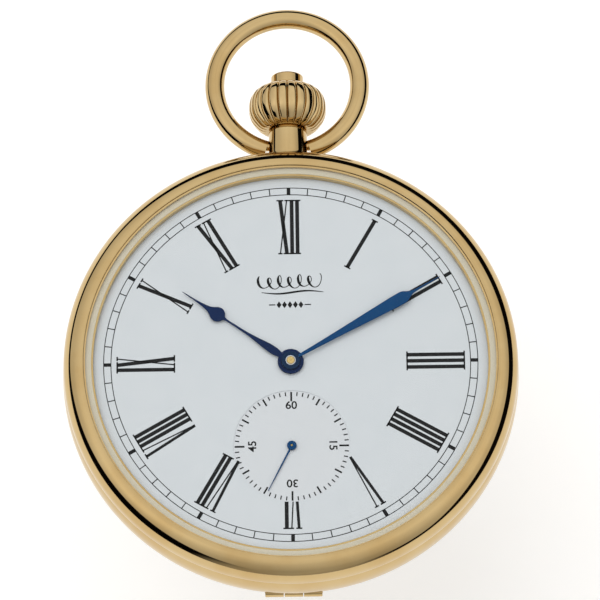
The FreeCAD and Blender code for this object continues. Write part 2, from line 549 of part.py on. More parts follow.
barrel_bridge.pocket([box_loop("-2.45", PINION_PLACE + " - 2.9", "2.45", PINION_PLACE + " + 1.0")], "3",
                     level="bridge_level - 1")

BALANCE_ROOM = "(balance_radius + 0.3)"
train_bridge = Piece("train_bridge")
west, south = polar(EDGE, "175"), polar(EDGE, "292")
room_low, room_high = polar(BALANCE_ROOM, "239", *BALANCE), polar(BALANCE_ROOM, "130", *BALANCE)
train_bridge.pad([[(west[0], west[1], 1, EDGE), south,
                   (room_low[0], room_low[1], -1, BALANCE_ROOM), room_high, ("5.4", "1.55")]],
                 "bridge_thickness", level="bridge_level")
train_bridge.pad([ring_sector(FOOT_IN, FOOT_OUT, "186", "276")], GAP + " + 0.2",
                 level=BRIDGE_TOP + " - 0.2")
train_bridge.pocket([], "0.6", [(x, y, "jewel_radius") for x, y in (("0", "0"), THIRD, FOURTH, ESCAPE)],
                    BRIDGE_TOP + " - 0.5")
train_bridge.pocket([], "3", [(x, y, "jewel_radius - 0.3") for x, y in (("0", "0"), THIRD, FOURTH, ESCAPE)],
                    "bridge_level - 1")

COCK = polar("(movement_radius - 2.85)", "-8.2")
cock = Piece("balance_cock")
across = "(%s)" % "%.2f" % (direction(BALANCE, COCK))
sides = [polar("1.9", across + " + 90", *BALANCE), polar("1.9", across + " - 90", *BALANCE),
         polar("2.4", across + " - 90", *COCK), polar("2.4", across + " + 90", *COCK)]
cock.pad([[(sides[0][0], sides[0][1], 1, "1.93"), sides[1], (sides[2][0], sides[2][1], 1, "2.43"),
           sides[3]]], "bridge_thickness", level="bridge_level")
cock.pad([], GAP + " + 0.2", [(*COCK, "2.2")], BRIDGE_TOP + " - 0.2")
cock.pocket([], "3", [(*BALANCE, "jewel_radius")], "bridge_level - 1")



def local(x, y, place, angle):
    """A point given in a frame at a place, turned by an angle."""
    return ("%s + (%s) * cos(%s) - (%s) * sin(%s)" % (place[0], x, angle, y, angle),
            "%s + (%s) * sin(%s) + (%s) * cos(%s)" % (place[1], x, angle, y, angle))


PALLET_ENDS = [local("1.4", y, PALLET, "lever_direction") for y in ("2.5", "-2.5")]
pallet_bridge = Piece("pallet_bridge")
pallet_bridge.pad([[local(x, y, PALLET, "lever_direction") for x, y in (
    ("-0.45", "-0.4"), ("0.8", "-3.0"), ("2.0", "-3.0"), ("1.5", "0"), ("2.0", "3.0"), ("0.8", "3.0"),
    ("-0.45", "0.4"))]], "0.3", level="plate_level - 1.15")
pallet_bridge.pad([], "0.95", [(x, y, "0.5") for x, y in PALLET_ENDS], "plate_level - 0.95")
pallet_bridge.pocket([], "0.6", [(*PALLET, "0.4")], "plate_level - 1.3")

# ---------------------------------------------------------------- screws and jewels
BRIDGE_SCREWS = [polar("(movement_radius - 1.0)", angle)
                 for angle in ("11.5", "71", "110", "160", "192", "231", "270")]
for piece, places in ((barrel_bridge, BRIDGE_SCREWS[:4]), (train_bridge, BRIDGE_SCREWS[4:]),
                      (cock, [COCK])):
    piece.pocket([], "0.3", [(x, y, "screw_head_radius - 0.2") for x, y in places], "bridge_level")
    piece.pocket([], GAP + " + 2", [(x, y, "screw_radius") for x, y in places], "bridge_level - 0.1")
ALL_SCREWS = BRIDGE_SCREWS + [COCK]
plate.pocket([], "1", [(x, y, "screw_radius") for x, y in ALL_SCREWS], "plate_level")
bolts = Piece("bridge_screws")
bolts.pad([], "screw_head_height", [(x, y, "screw_head_radius - 0.2") for x, y in ALL_SCREWS],
          "bridge_level + 0.3 - screw_head_height")
bolts.pad([], GAP + " + bridge_thickness + 0.6", [(x, y, "screw_radius") for x, y in ALL_SCREWS],
          "bridge_level + 0.3")
for n, (x, y) in enumerate(ALL_SCREWS):
    bolts.pocket([box_loop(x + " - 1", y + " - 0.11", x + " + 1", y + " + 0.11")], "0.2",
                 level="bridge_level + 0.3 - screw_head_height")

stones = Piece("jewels")
stones.pad([], "0.5", [(x, y, "jewel_radius") for x, y in (("0", "0"), THIRD, FOURTH, ESCAPE)]
           + [("0", "0", "arbor_radius + 0.02")] + [(x, y, "pivot_radius + 0.02")
           for x, y in (THIRD, FOURTH, ESCAPE)], BRIDGE_TOP + " - 0.5")
stones.pad([], "0.5", [(x, y, "jewel_radius") for x, y in (THIRD, ESCAPE, PALLET, BALANCE)]
           + [(x, y, "pivot_radius + 0.02") for x, y in (THIRD, ESCAPE, PALLET, BALANCE)], "plate_level")
stones.pad([], "0.3", [(*PALLET, "0.4"), (*PALLET, "pivot_radius + 0.02")], "plate_level - 1.15")
top_stone = Piece("balance_jewel")
top_stone.pad([], "0.6", [(*BALANCE, "jewel_radius"), (*BALANCE, "pivot_radius + 0.02")],
              BRIDGE_TOP + " - 0.6")
top_stone.pad([], "0.4", [(*BALANCE, "jewel_radius")], "bridge_level")
foot_screws = [Part.makeCylinder(0.25, 1.0, FreeCAD.Vector(side * (val("movement_radius") - 0.45), 0, 0),
                                 FreeCAD.Vector(side, 0, 0)) for side in (-1, 1)]
shaped("dial_screws", Part.makeCompound(foot_screws), z="dial_level - 0.35")

# ---------------------------------------------------------------- going train
def rotor(label, solids, place=("0", "0"), angle=0.0):
    """One turning piece: its solids made about its own arbor, then set at its place."""
    return shaped(label, fused(*solids), place[0], place[1], "0", angle)


def spoked(teeth, module, low, high, hub, rim, spokes, spoke_width, phase=0.0):
    """A toothed wheel with windows between its spokes."""
    inner = "(%s) * (%s) / 2 - 1.2 * (%s) - (%s)" % (teeth, module, module, rim)
    return toothed(teeth, module, low, high, phase).cut(
        windows(hub, inner, spokes, spoke_width, low, high))


barrel_phase, centre_phase = phases(("0", "0"), BARREL, "barrel_teeth")[::-1]
BARREL_TOP = "(barrel_floor + barrel_height)"
BARREL_WALL = "(barrel_teeth * barrel_module / 2 - 0.5)"
case_drum = drum(BARREL_WALL, "barrel_floor", BARREL_TOP).cut(
    drum(BARREL_WALL + " - 0.4", "barrel_floor + 0.25", BARREL_TOP))
case_drum = case_drum.cut(drum("arbor_shoulder - 0.2", "barrel_floor", BARREL_TOP))
teeth_ring = toothed("barrel_teeth", "barrel_module", "plate_level - 0.9", "plate_level - 0.4",
                     barrel_phase).cut(drum(BARREL_WALL + " - 0.4", "plate_level - 0.9",
                                            "plate_level - 0.4"))
rotor("barrel", [case_drum, teeth_ring], BARREL)
rotor("barrel_cover", [drum(BARREL_WALL + " - 0.4", BARREL_TOP + " - 0.25", BARREL_TOP).cut(
    drum("0.8", BARREL_TOP + " - 0.25", BARREL_TOP))], BARREL)
rotor("barrel_arbor", [drum("arbor_shoulder - 0.25", "bridge_level", "barrel_floor + 0.3"),
                       drum("1.3", "barrel_floor + 0.3", BARREL_TOP + " - 0.3"),
                       drum("0.75", BARREL_TOP + " - 0.3", PLATE_TOP + " - 0.1"),
                       Part.makeBox(1.9, 1.9, 0.6, FreeCAD.Vector(-0.95, -0.95, val("bridge_level") - 0.6))],
      BARREL)


def spiral(inner, outer, turns, thickness, low, high, samples=40):
    """A flat spring of even pitch from the formula of a spiral."""
    count = int(turns * samples)
    left, right = [], []
    for k in range(count + 1):
        angle = 2 * math.pi * turns * k / count
        radius = inner + (outer - inner) * k / count
        left.append(((radius + thickness / 2) * math.cos(angle), (radius + thickness / 2) * math.sin(angle)))
        right.append(((radius - thickness / 2) * math.cos(angle), (radius - thickness / 2) * math.sin(angle)))
    return prism(left + right[::-1], low, high)


shaped("mainspring", spiral(1.75, val(BARREL_WALL) - 0.6, 9, 0.16, "barrel_floor + 0.35",
                            BARREL_TOP + " - 0.35"), *BARREL)

third_to_centre = direction(THIRD, ("0", "0"))
rotor("centre_wheel", [
    spoked("centre_teeth", "centre_module", BRIDGE_TOP + " + 0.15", BRIDGE_TOP + " + 0.45", "1.3", "0.5", 5,
           "0.5", direction(("0", "0"), THIRD)),
    drum("0.7", BRIDGE_TOP + " + 0.1", "plate_level - 0.9"),
    toothed("centre_pinion_leaves", "barrel_module", "plate_level - 0.95", "plate_level - 0.3",
            centre_phase),
    drum("arbor_radius", "bridge_level + 0.1", BRIDGE_TOP + " + 0.1"),
    drum("arbor_radius + 0.1", "plate_level - 0.3", "minute_hand_level + 0.28")])
THIRD_LEAVES, FOURTH_LEAVES = int(val("third_pinion_leaves")), int(val("fourth_pinion_leaves"))
ESCAPE_LEAVES = int(val("escape_pinion_leaves"))
rotor("third_wheel", [
    toothed("third_pinion_leaves", "centre_module", BRIDGE_TOP + " + 0.05", BRIDGE_TOP + " + 0.7",
            third_to_centre + 180.0 / THIRD_LEAVES),
    spoked("third_teeth", "third_module", BRIDGE_TOP + " + 0.7", BRIDGE_TOP + " + 0.95", "1.0", "0.45", 5,
           "0.4", direction(THIRD, FOURTH)),
    drum("arbor_radius", BRIDGE_TOP + " + 0.05", "plate_level - 0.05"),
    drum("pivot_radius", BRIDGE_TOP + " - 0.45", "plate_level + 0.45")], THIRD)
rotor("fourth_wheel", [
    toothed("fourth_pinion_leaves", "third_module", BRIDGE_TOP + " + 0.55", BRIDGE_TOP + " + 1.15",
            direction(FOURTH, THIRD) + 180.0 / FOURTH_LEAVES),
    spoked("fourth_teeth", "fourth_module", BRIDGE_TOP + " + 1.4", BRIDGE_TOP + " + 1.65", "0.8", "0.35", 5,
           "0.35", direction(FOURTH, ESCAPE)),
    drum("arbor_radius", BRIDGE_TOP + " + 0.05", "plate_level - 0.05"),
    drum("arbor_radius", "plate_level - 0.05", "dial_level - 0.1"),
    drum("pivot_radius", BRIDGE_TOP + " - 0.45", BRIDGE_TOP + " + 0.05"),
    drum("pivot_radius - 0.01", "dial_level - 0.1", "seconds_hand_level + 0.2")], FOURTH)


def escape_ring(teeth, radius, low, high):
    """An escape wheel: each tooth leans forward from the rim to a narrow tip."""
    outline = []
    for k in range(teeth):
        start = 2 * math.pi * k / teeth
        for r, turn in ((0.74, 0.0), (0.98, 0.30), (1.0, 0.35), (0.985, 0.42), (0.74, 0.24)):
            outline.append((radius * r * math.cos(start + turn * 2 * math.pi / teeth),
                            radius * r * math.sin(start + turn * 2 * math.pi / teeth)))
    return prism(outline, low, high)


ESC_LOW, ESC_HIGH = "plate_level - 0.65", "plate_level - 0.45"
rotor("escape_wheel", [
    escape_ring(int(val("escape_teeth")), val("escape_radius"), ESC_LOW, ESC_HIGH).cut(
        windows("0.6", "escape_radius * 0.62", 4, "0.3", ESC_LOW, ESC_HIGH)),
    toothed("escape_pinion_leaves", "fourth_module", BRIDGE_TOP + " + 1.25", BRIDGE_TOP + " + 1.8",
            direction(ESCAPE, FOURTH) + 180.0 / ESCAPE_LEAVES),
    drum("arbor_radius - 0.05", BRIDGE_TOP + " + 0.05", "plate_level - 0.05"),
    drum("pivot_radius", BRIDGE_TOP + " - 0.45", "plate_level + 0.45")], ESCAPE)

# lever escapement: the fork's frame points along +X before it is turned to the lever's line
REACH = val("balance_distance")
fork_low, fork_high = ESC_LOW, ESC_HIGH
arm = val("escape_radius") * 0.74
fork = prism([(-0.5, -0.28), (REACH - 1.43, -0.13), (REACH - 1.23, -0.42), (REACH - 0.82, -0.42),
              (REACH - 0.82, -0.2), (REACH - 1.13, -0.2), (REACH - 1.13, 0.2), (REACH - 0.82, 0.2),
              (REACH - 0.82, 0.42), (REACH - 1.23, 0.42), (REACH - 1.43, 0.13), (-0.5, 0.28)],
             fork_low, fork_high)
pallet_arms = prism([(0.3, -0.3), (-0.2, -1.95), (-0.62, -1.95), (-0.35, -0.3), (-0.35, 0.3),
                     (-0.62, 1.95), (-0.2, 1.95), (0.3, 0.3)], fork_low, fork_high)
lever_angle = val("lever_direction")
shaped("pallet_fork", fused(fork, pallet_arms, drum("0.3", fork_low, fork_high),
                            drum("0.25", "plate_level - 0.83", "plate_level - 0.05"),
                            drum("pivot_radius", "plate_level - 1.1", "plate_level + 0.45")),
       *PALLET, "0", lever_angle)
pads = [prism([(-0.93, side * 1.62), (-0.62, side * 1.62), (-0.62, side * 1.87), (-0.93, side * 1.87)],
              fork_low, fork_high) for side in (-1, 1)]
shaped("pallet_stones", Part.makeCompound(pads), *PALLET, "0", lever_angle)

BALANCE_LOW, BALANCE_HIGH = BRIDGE_TOP + " + 1.0", BRIDGE_TOP + " + 1.4"
screws_round = [Part.makeCylinder(0.14, 0.32, FreeCAD.Vector(
    (val("balance_radius") - 0.34) * math.cos(math.radians(a)),
    (val("balance_radius") - 0.34) * math.sin(math.radians(a)), val(BRIDGE_TOP) + 1.2),
    FreeCAD.Vector(math.cos(math.radians(a)), math.sin(math.radians(a)), 0))
    for a in range(15, 375, 30)]
rotor("balance_wheel", [
    drum("balance_radius - 0.3", BALANCE_LOW, BALANCE_HIGH).cut(
        windows("0.75", "balance_radius - 0.8", 3, "0.45", BALANCE_LOW, BALANCE_HIGH)),
    *screws_round,
    drum("0.32", BRIDGE_TOP + " + 0.05", "plate_level - 0.05"),
    drum("pivot_radius", BRIDGE_TOP + " - 0.5", "plate_level + 0.45"),
    drum("0.75", "plate_level - 0.4", "plate_level - 0.2"),
    Part.makeCylinder(0.11, 0.3, FreeCAD.Vector(-0.62, 0, val("plate_level") - 0.66))],
    BALANCE, lever_angle)
shaped("hairspring", spiral(0.55, 3.0, 9, 0.07, BRIDGE_TOP + " + 0.35", BRIDGE_TOP + " + 0.55"), *BALANCE)
stud = polar("3.0", "0", *BALANCE)
Piece("hairspring_stud").pad([], "0.62", [(stud[0] + " + 0.12", stud[1], "0.22")], BRIDGE_TOP)
regulator = Piece("regulator")
regulator.pad([], "0.25", [(*BALANCE, "1.25"), (*BALANCE, "jewel_radius + 0.05")], "bridge_level - 0.25")
tip = [polar("1.1", across + " + 155", *BALANCE), polar("3.6", across + " + 177", *BALANCE),
       polar("3.6", across + " + 183", *BALANCE), polar("1.1", across + " + 205", *BALANCE)]
regulator.pad([tip], "0.25", level="bridge_level - 0.25")

# ---------------------------------------------------------------- winding and setting
ratchet_mesh = direction(BARREL, CROWN_WHEEL)
RATCHET_LOW = "(bridge_level - 0.6)"
rotor("ratchet_wheel", [toothed("ratchet_teeth", "winding_module", RATCHET_LOW, "bridge_level",
                                ratchet_mesh).cut(Part.makeBox(
      1.94, 1.94, 0.7, FreeCAD.Vector(-0.97, -0.97, val(RATCHET_LOW) - 0.05)))], BARREL)
head = drum("1.5", RATCHET_LOW + " - 0.3", RATCHET_LOW).cut(Part.makeBox(
    3.2, 0.3, 0.15, FreeCAD.Vector(-1.6, -0.15, val(RATCHET_LOW) - 0.3)))
rotor("ratchet_screw", [head], BARREL)
contrate = []
CONTRATE_TEETH = 2 * 16
for k in range(CONTRATE_TEETH):
    tooth = Part.makeBox(0.7, 0.3, 0.3, FreeCAD.Vector(val("contrate_radius") - 0.35, -0.15,
                                                       val("bridge_level") + 0.2))
    tooth.rotate(FreeCAD.Vector(0, 0, 0), FreeCAD.Vector(0, 0, 1), 360.0 * k / CONTRATE_TEETH)
    contrate.append(tooth)
crown_flange = drum("contrate_radius + 0.35", "bridge_level + 0.05", "bridge_level + 0.25")
crown_spur = toothed("crown_wheel_teeth", "winding_module", RATCHET_LOW, "bridge_level + 0.05",
                     ratchet_mesh + 180.0 + 180.0 / int(val("crown_wheel_teeth")))
rotor("crown_wheel", [fused(crown_spur, crown_flange, *contrate).cut(
    drum("0.9", "bridge_level - 1", "bridge_level + 1"))], CROWN_WHEEL)
post = lathe("crown_wheel_screw", [
    ("0", RATCHET_LOW + " - 0.35"), ("1.7", RATCHET_LOW + " - 0.35"), ("1.7", RATCHET_LOW + " - 0.03"),
    ("0.8", RATCHET_LOW + " - 0.03"), ("0.8", "bridge_level + 0.75"), ("0.5", "bridge_level + 0.75"),
    ("0.5", BRIDGE_TOP), ("0", BRIDGE_TOP)], *CROWN_WHEEL)
post.pocket([box_loop("-1.8", "-0.16", "1.8", "0.16")], "0.16", level=RATCHET_LOW + " - 0.36")

rotor("click", [drum("0.75", "bridge_level - 0.45", "bridge_level - 0.02").fuse(
    prism([(0.1, -0.7), (1.7, -1.3), (2.1, -1.47), (2.2, -1.3), (0.9, 0.5), (0.0, 0.75)],
          "bridge_level - 0.45", "bridge_level - 0.02")).cut(
    drum("0.32", "bridge_level - 1", "bridge_level + 1"))], CLICK, val("barrel_direction") + 60 - 90)
rotor("click_screw", [drum("0.6", "bridge_level - 0.75", "bridge_level - 0.48"),
                      drum("0.28", "bridge_level - 0.48", BRIDGE_TOP)], CLICK)
spring_line = [(-0.3 + 0.45 * k, 1.0 + 0.22 * k - 0.028 * k * k) for k in range(9)]
spring_back = [(x + 0.05, y + 0.14) for x, y in spring_line]
shaped("click_spring", fused(
    prism(spring_line + spring_back[::-1], "bridge_level - 0.35", "bridge_level - 0.02"),
    drum("0.5", "bridge_level - 0.5", "bridge_level", 3.5, 1.35),
    drum("0.28", "bridge_level", BRIDGE_TOP, 3.5, 1.35)), *CLICK, "0", val("barrel_direction") + 60 - 90)

pinion_blank = toothed("16", "winding_pinion_radius * 2 / 16", "-0.55", "0.55", 90.0 + 11.25)
ratchet_face = [prism([(0.75 * math.cos(a), 0.75 * math.sin(a)), (1.5 * math.cos(a), 1.5 * math.sin(a)),
                       (1.5 * math.cos(a + 0.4), 1.5 * math.sin(a + 0.4)),
                       (0.75 * math.cos(a + 0.4), 0.75 * math.sin(a + 0.4))], "0.5", "0.8")
                for a in [k * math.pi / 4 for k in range(8)]]
shaped("winding_pinion", fused(pinion_blank, *ratchet_face).cut(
    drum("stem_radius + 0.02", "-1", "1")), "0", PINION_PLACE, "stem_level", 90, (1, 0, 0))
clutch = fused(drum("1.35", "-0.75", "-0.2"), drum("0.95", "-0.2", "0.2"), drum("1.35", "0.2", "0.75"))
shaped("sliding_pinion", clutch.cut(Part.makeBox(1.04, 1.04, 2, FreeCAD.Vector(-0.52, -0.52, -1))), "0",
       PINION_PLACE + " - 1.7", "stem_level", 90, (1, 0, 0))

YOKE_LOW, YOKE_HIGH = PLATE_TOP + " + 0.05", PLATE_TOP + " + 0.35"
YOKE_PIVOT = ("4.6", "(crown_wheel_distance + 0.9)")
LEVER_PIVOT = ("-4.4", "(crown_wheel_distance + 2.8)")
rotor("yoke", [prism([(0, -0.5), (0, 0.5), (-3.5, 1.75), (-4.0, 1.6), (-3.9, 1.15), (-3.3, 0.8)],
                     YOKE_LOW, YOKE_HIGH), drum("0.7", YOKE_LOW, YOKE_HIGH),
               drum("0.18", "stem_level + 0.9", YOKE_LOW, -3.7, 1.4),
               drum("0.3", PLATE_TOP + " - 0.6", YOKE_LOW)], YOKE_PIVOT)
rotor("setting_lever", [prism([(0, -0.6), (3.5, 1.5), (4.3, 2.0), (4.3, 2.6), (3.6, 2.6), (0, 0.6)],
                              YOKE_LOW, YOKE_HIGH), drum("0.75", YOKE_LOW, YOKE_HIGH),
                        drum("0.19", "stem_level + 0.36", YOKE_LOW, 4.0, 2.3),
                        drum("0.3", PLATE_TOP + " - 0.6", YOKE_LOW)], LEVER_PIVOT)
shaped("setting_lever_spring", fused(
    prism([(-8.4, -4.2), (-7.0, -4.6), (-5.6, -3.5), (-5.0, -2.1), (-5.25, -1.9), (-6.0, -3.0),
           (-7.0, -3.5), (-8.2, -3.4)], YOKE_LOW, YOKE_HIGH),
    drum("0.35", PLATE_TOP + " - 0.6", YOKE_LOW, -7.7, -3.9)), "0", PINION_PLACE + " + 0.2", "0")

# ---------------------------------------------------------------- motion works under the dial
motion_along = direction(("0", "0"), MINUTE_WHEEL)
rotor("cannon_pinion", [
    drum("0.68", PLATE_TOP + " + 0.05", "hour_hand_level + 0.2").cut(
        drum("arbor_radius + 0.12", PLATE_TOP, "hour_hand_level + 0.3")),
    drum("0.55", "hour_hand_level + 0.2", "minute_hand_level + 0.22").cut(
        drum("arbor_radius + 0.12", PLATE_TOP, "minute_hand_level + 0.3")),
    toothed("cannon_leaves", "motion_module", PLATE_TOP + " + 0.05", PLATE_TOP + " + 0.35",
            motion_along).cut(drum("arbor_radius + 0.12", PLATE_TOP, PLATE_TOP + " + 1"))])
MINUTE_COUNT = int(val("minute_wheel_teeth"))
minute_phase = motion_along + 180.0 + 180.0 / MINUTE_COUNT
HOUR_MODULE = "(2 * %s / (minute_pinion_leaves + hour_wheel_teeth))" % CANNON_DISTANCE
rotor("minute_wheel", [
    toothed("minute_wheel_teeth", "motion_module", PLATE_TOP + " + 0.1", PLATE_TOP + " + 0.3", minute_phase),
    toothed("minute_pinion_leaves", HOUR_MODULE, PLATE_TOP + " + 0.3", PLATE_TOP + " + 0.68",
            motion_along + 180.0),
    drum("0.3", PLATE_TOP + " - 0.6", PLATE_TOP + " + 0.1")], MINUTE_WHEEL)
rotor("hour_wheel", [
    toothed("hour_wheel_teeth", HOUR_MODULE, PLATE_TOP + " + 0.42", PLATE_TOP + " + 0.62",
            motion_along + 180.0 / int(val("hour_wheel_teeth"))).cut(
        drum("0.72", PLATE_TOP, PLATE_TOP + " + 1")),
    drum("0.95", PLATE_TOP + " + 0.42", "hour_hand_level + 0.17").cut(
        drum("0.72", PLATE_TOP, "hour_hand_level + 1"))])
setting_along = direction(MINUTE_WHEEL, SETTING_WHEEL)
near = [minute_phase + 360.0 * k / MINUTE_COUNT for k in range(MINUTE_COUNT)]
tooth_at = min(near, key=lambda a: abs((a - setting_along + 180) % 360 - 180))
slip = (tooth_at - setting_along) * MINUTE_COUNT / val("setting_wheel_teeth")
rotor("setting_wheel", [
    toothed("setting_wheel_teeth", "motion_module", PLATE_TOP + " + 0.1", PLATE_TOP + " + 0.3",
            setting_along + 180.0 + 180.0 / val("setting_wheel_teeth") - slip),
    drum("0.5", PLATE_TOP + " + 0.02", PLATE_TOP + " + 0.4"),
    drum("0.3", PLATE_TOP + " - 0.6", PLATE_TOP + " + 0.02")], SETTING_WHEEL)
# ---------------------------------------------------------------- hand in
doc.recompute()
os.makedirs("parts", exist_ok=True)
for piece in NODES:
    state = ",".join(piece.State)
    shape = piece.Shape
    if "Invalid" in state or "Error" in state or shape.isNull() or not shape.isValid():
        raise RuntimeError("bad sub-part " + piece.Label + " " + state)
for piece in NODES:
    piece.Shape.exportStep(os.path.join("parts", piece.Label + ".step"))
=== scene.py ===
import math

import bpy
import numpy as np
from mathutils import Matrix, Vector


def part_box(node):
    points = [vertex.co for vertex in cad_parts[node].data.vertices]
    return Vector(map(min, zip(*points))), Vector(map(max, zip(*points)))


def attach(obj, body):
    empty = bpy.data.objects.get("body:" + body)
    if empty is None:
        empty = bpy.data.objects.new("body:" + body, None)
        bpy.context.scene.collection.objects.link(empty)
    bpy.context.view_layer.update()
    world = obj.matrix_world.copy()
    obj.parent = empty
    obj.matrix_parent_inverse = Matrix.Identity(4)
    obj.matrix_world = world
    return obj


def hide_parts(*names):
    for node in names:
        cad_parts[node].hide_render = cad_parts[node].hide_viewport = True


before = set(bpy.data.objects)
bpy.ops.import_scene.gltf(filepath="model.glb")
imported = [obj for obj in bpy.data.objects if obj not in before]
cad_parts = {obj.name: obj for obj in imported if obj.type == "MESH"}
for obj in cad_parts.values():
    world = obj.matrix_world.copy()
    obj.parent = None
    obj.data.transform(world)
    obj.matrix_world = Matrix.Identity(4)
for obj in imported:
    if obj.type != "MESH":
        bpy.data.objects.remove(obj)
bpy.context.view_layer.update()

# Open face pocket watch: polished gold case, enamel dial, blued hands and a hand-wound movement.
MM = 0.001


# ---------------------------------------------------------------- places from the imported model
def span(node):
    """A node's lowest and highest corner, in millimetres."""
    low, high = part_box(node)
    return np.array(low) / MM, np.array(high) / MM


def middle(node):
    """The middle of a node's box, in millimetres."""
    low, high = span(node)
    return (low + high) / 2


case_radius = span("case_band")[1][0]
stem_level = middle("pendant")[2]
dial_top = span("dial")[1][2]
crown_low, crown_high = span("crown")[0][1], span("crown")[1][1]
button_low, button_top = span("push_button")[0][1], span("push_button")[1][1]
bow_top = span("bow")[1][1]
sleeve_radius = span("push_sleeve")[1][0]
crystal_edge, crystal_top = span("crystal")[1][0], span("crystal")[1][2]
hinge_place = (0, *middle("back_hinge_pin")[1:])
seconds_place = np.array([0.0, middle("fourth_wheel")[1]])

# The printed rings' radii, and the sunk seconds face: its rim from bottom to top, and its depth.
MINUTE_TRACK, SECONDS_TRACK = (19.6, 20.4), 6.2
SUNK_RIM, SUNK_DEPTH = (6.25, 6.4), 0.08
INK_HIGH = 0.012


# ---------------------------------------------------------------- shader maths
class Flow:
    """A number running between nodes; arithmetic on it adds Math nodes."""

    def __init__(self, recipe, socket):
        self.recipe, self.socket = recipe, socket

    def math(self, operation, *values):
        return self.recipe.node("ShaderNodeMath", {"operation": operation}, dict(enumerate(values)))

    def __add__(self, other): return self.math("ADD", self, other)
    def __radd__(self, other): return self.math("ADD", other, self)
    def __sub__(self, other): return self.math("SUBTRACT", self, other)
    def __rsub__(self, other): return self.math("SUBTRACT", other, self)
    def __mul__(self, other): return self.math("MULTIPLY", self, other)
    def __rmul__(self, other): return self.math("MULTIPLY", other, self)
    def __truediv__(self, other): return self.math("DIVIDE", self, other)
    def __pow__(self, other): return self.math("POWER", self, other)
    def sine(self): return self.math("SINE", self)
    def size(self): return self.math("ABSOLUTE", self)
    def part(self): return self.math("FRACT", self)

    def step(self, low, high):
        """0 below low, 1 above high, smooth between."""
        return self.recipe.node("ShaderNodeMapRange", {"interpolation_type": "SMOOTHSTEP"},
                                {"Value": self, "From Min": low, "From Max": high})


class Recipe:
    """A material under construction, or the node tree of a world that is handed in."""

    def __init__(self, name, world=None):
        self.material = world or bpy.data.materials.new(name)
        self.material.use_nodes = True
        self.tree = self.material.node_tree
        self.tree.nodes.clear()

    def node(self, kind, settings=None, sockets=None, out=0):
        """Adds one node: settings first, then each socket's value or link; gives one output."""
        node = self.tree.nodes.new(kind)
        for key, value in (settings or {}).items():
            if key == "stops":
                ramp = node.color_ramp
                while len(ramp.elements) < len(value):
                    ramp.elements.new(0.5)
                for element, (place, colour) in zip(ramp.elements, value):
                    element.position, element.color = place, (*colour, 1.0)
            else:
                setattr(node, key, value)
        for key, value in (sockets or {}).items():
            if isinstance(value, Flow):
                self.tree.links.new(value.socket, node.inputs[key])
            elif value is not None:
                node.inputs[key].default_value = value
        return Flow(self, node.outputs[out]) if node.outputs else None

    def place(self, centre=(0, 0, 0), turn=(0, 0, 0), scale=(1, 1, 1)):
        """Object coordinates measured from a centre in millimetres."""
        spot = self.node("ShaderNodeTexCoord", out="Object")
        shift = [-c * MM for c in centre]
        moved = self.node("ShaderNodeMapping", sockets={"Vector": spot, "Location": shift})
        return self.node("ShaderNodeMapping", sockets={"Vector": moved, "Rotation": turn,
                                                       "Scale": [s / MM for s in scale]})

    def axes(self, vector):
        """A vector's three parts."""
        split = self.node("ShaderNodeSeparateXYZ", sockets={0: vector})
        node = split.socket.node
        return [Flow(self, node.outputs[i]) for i in range(3)]

    def noise(self, vector, scale, detail=3.0, roughness=0.55):
        return self.node("ShaderNodeTexNoise", sockets={"Vector": vector, "Scale": scale,
                                                        "Detail": detail, "Roughness": roughness})

    def mix(self, factor, a, b):
        """A colour between a and b. A Mix node's colour sockets go by number: 6 and 7 in, 2 out."""
        a, b = (c if isinstance(c, Flow) else (*c, 1.0) for c in (a, b))
        return self.node("ShaderNodeMix", {"data_type": "RGBA"}, {0: factor, 6: a, 7: b}, out=2)

    def bump(self, height, strength, distance=0.00002):
        return self.node("ShaderNodeBump", sockets={"Height": height, "Strength": strength,
                                                    "Distance": distance})

    def surface(self, **values):
        """The finished material, with a Principled shader's sockets set by name."""
        sockets = {key.replace("_", " "): value for key, value in values.items()}
        sockets = {key: (*v, 1.0) if isinstance(v, tuple) and len(v) == 3 else v
                   for key, v in sockets.items()}
        shader = self.node("ShaderNodeBsdfPrincipled", sockets=sockets)
        self.node("ShaderNodeOutputMaterial", sockets={"Surface": shader})
        return self.material


def polished_gold(name, base=(0.59, 0.433, 0.211), wear=1.0):
    """Gold plate: faint cloud in the colour, hairline scratches both ways and a soft buffed grain."""
    r = Recipe(name)
    spot = r.place()
    cloud = r.noise(spot, 0.18, 4.0)
    deep = tuple(c * k for c, k in zip(base, (0.93, 0.88, 0.80)))
    colour = r.mix(cloud.step(0.35, 0.7), base, deep)
    lines = r.noise(r.place(turn=(0.3, 0.2, 0.7), scale=(0.25, 6, 6)), 2.2, 2.0)
    across = r.noise(r.place(turn=(0.9, -0.4, -0.9), scale=(5, 0.2, 5)), 2.0, 2.0)
    scratch = (lines.step(0.62, 0.72) + across.step(0.64, 0.74)) * (0.5 * wear)
    rough = 0.03 + cloud * 0.025 + scratch * 0.08
    return r.surface(Base_Color=colour, Metallic=1.0, Roughness=rough,
                     Normal=r.bump(scratch * -1.0 + cloud * 0.1, 0.025 * wear))


def dial_enamel():
    """Fired enamel: a bluish white with the faintest mottle, and a clear gloss."""
    r = Recipe("dial_enamel")
    spot = r.place()
    mottle = r.noise(spot, 0.35, 5.0)
    fine = r.noise(spot, 9.0, 2.0)
    x, y = r.axes(r.place((*seconds_place, 0)))[:2]
    reach = (x * x + y * y) ** 0.5
    sunk = 1.0 - reach.step(*SUNK_RIM)
    field = r.mix(mottle.step(0.3, 0.75), (0.636, 0.660, 0.698), (0.618, 0.645, 0.684))
    colour = r.mix(sunk * 0.45, field, (0.650, 0.652, 0.684))
    return r.surface(Base_Color=colour, Roughness=0.30 + fine * 0.06, Coat_Weight=0.2,
                     Coat_Roughness=0.08, Normal=r.bump(mottle + fine * 0.2, 0.03))


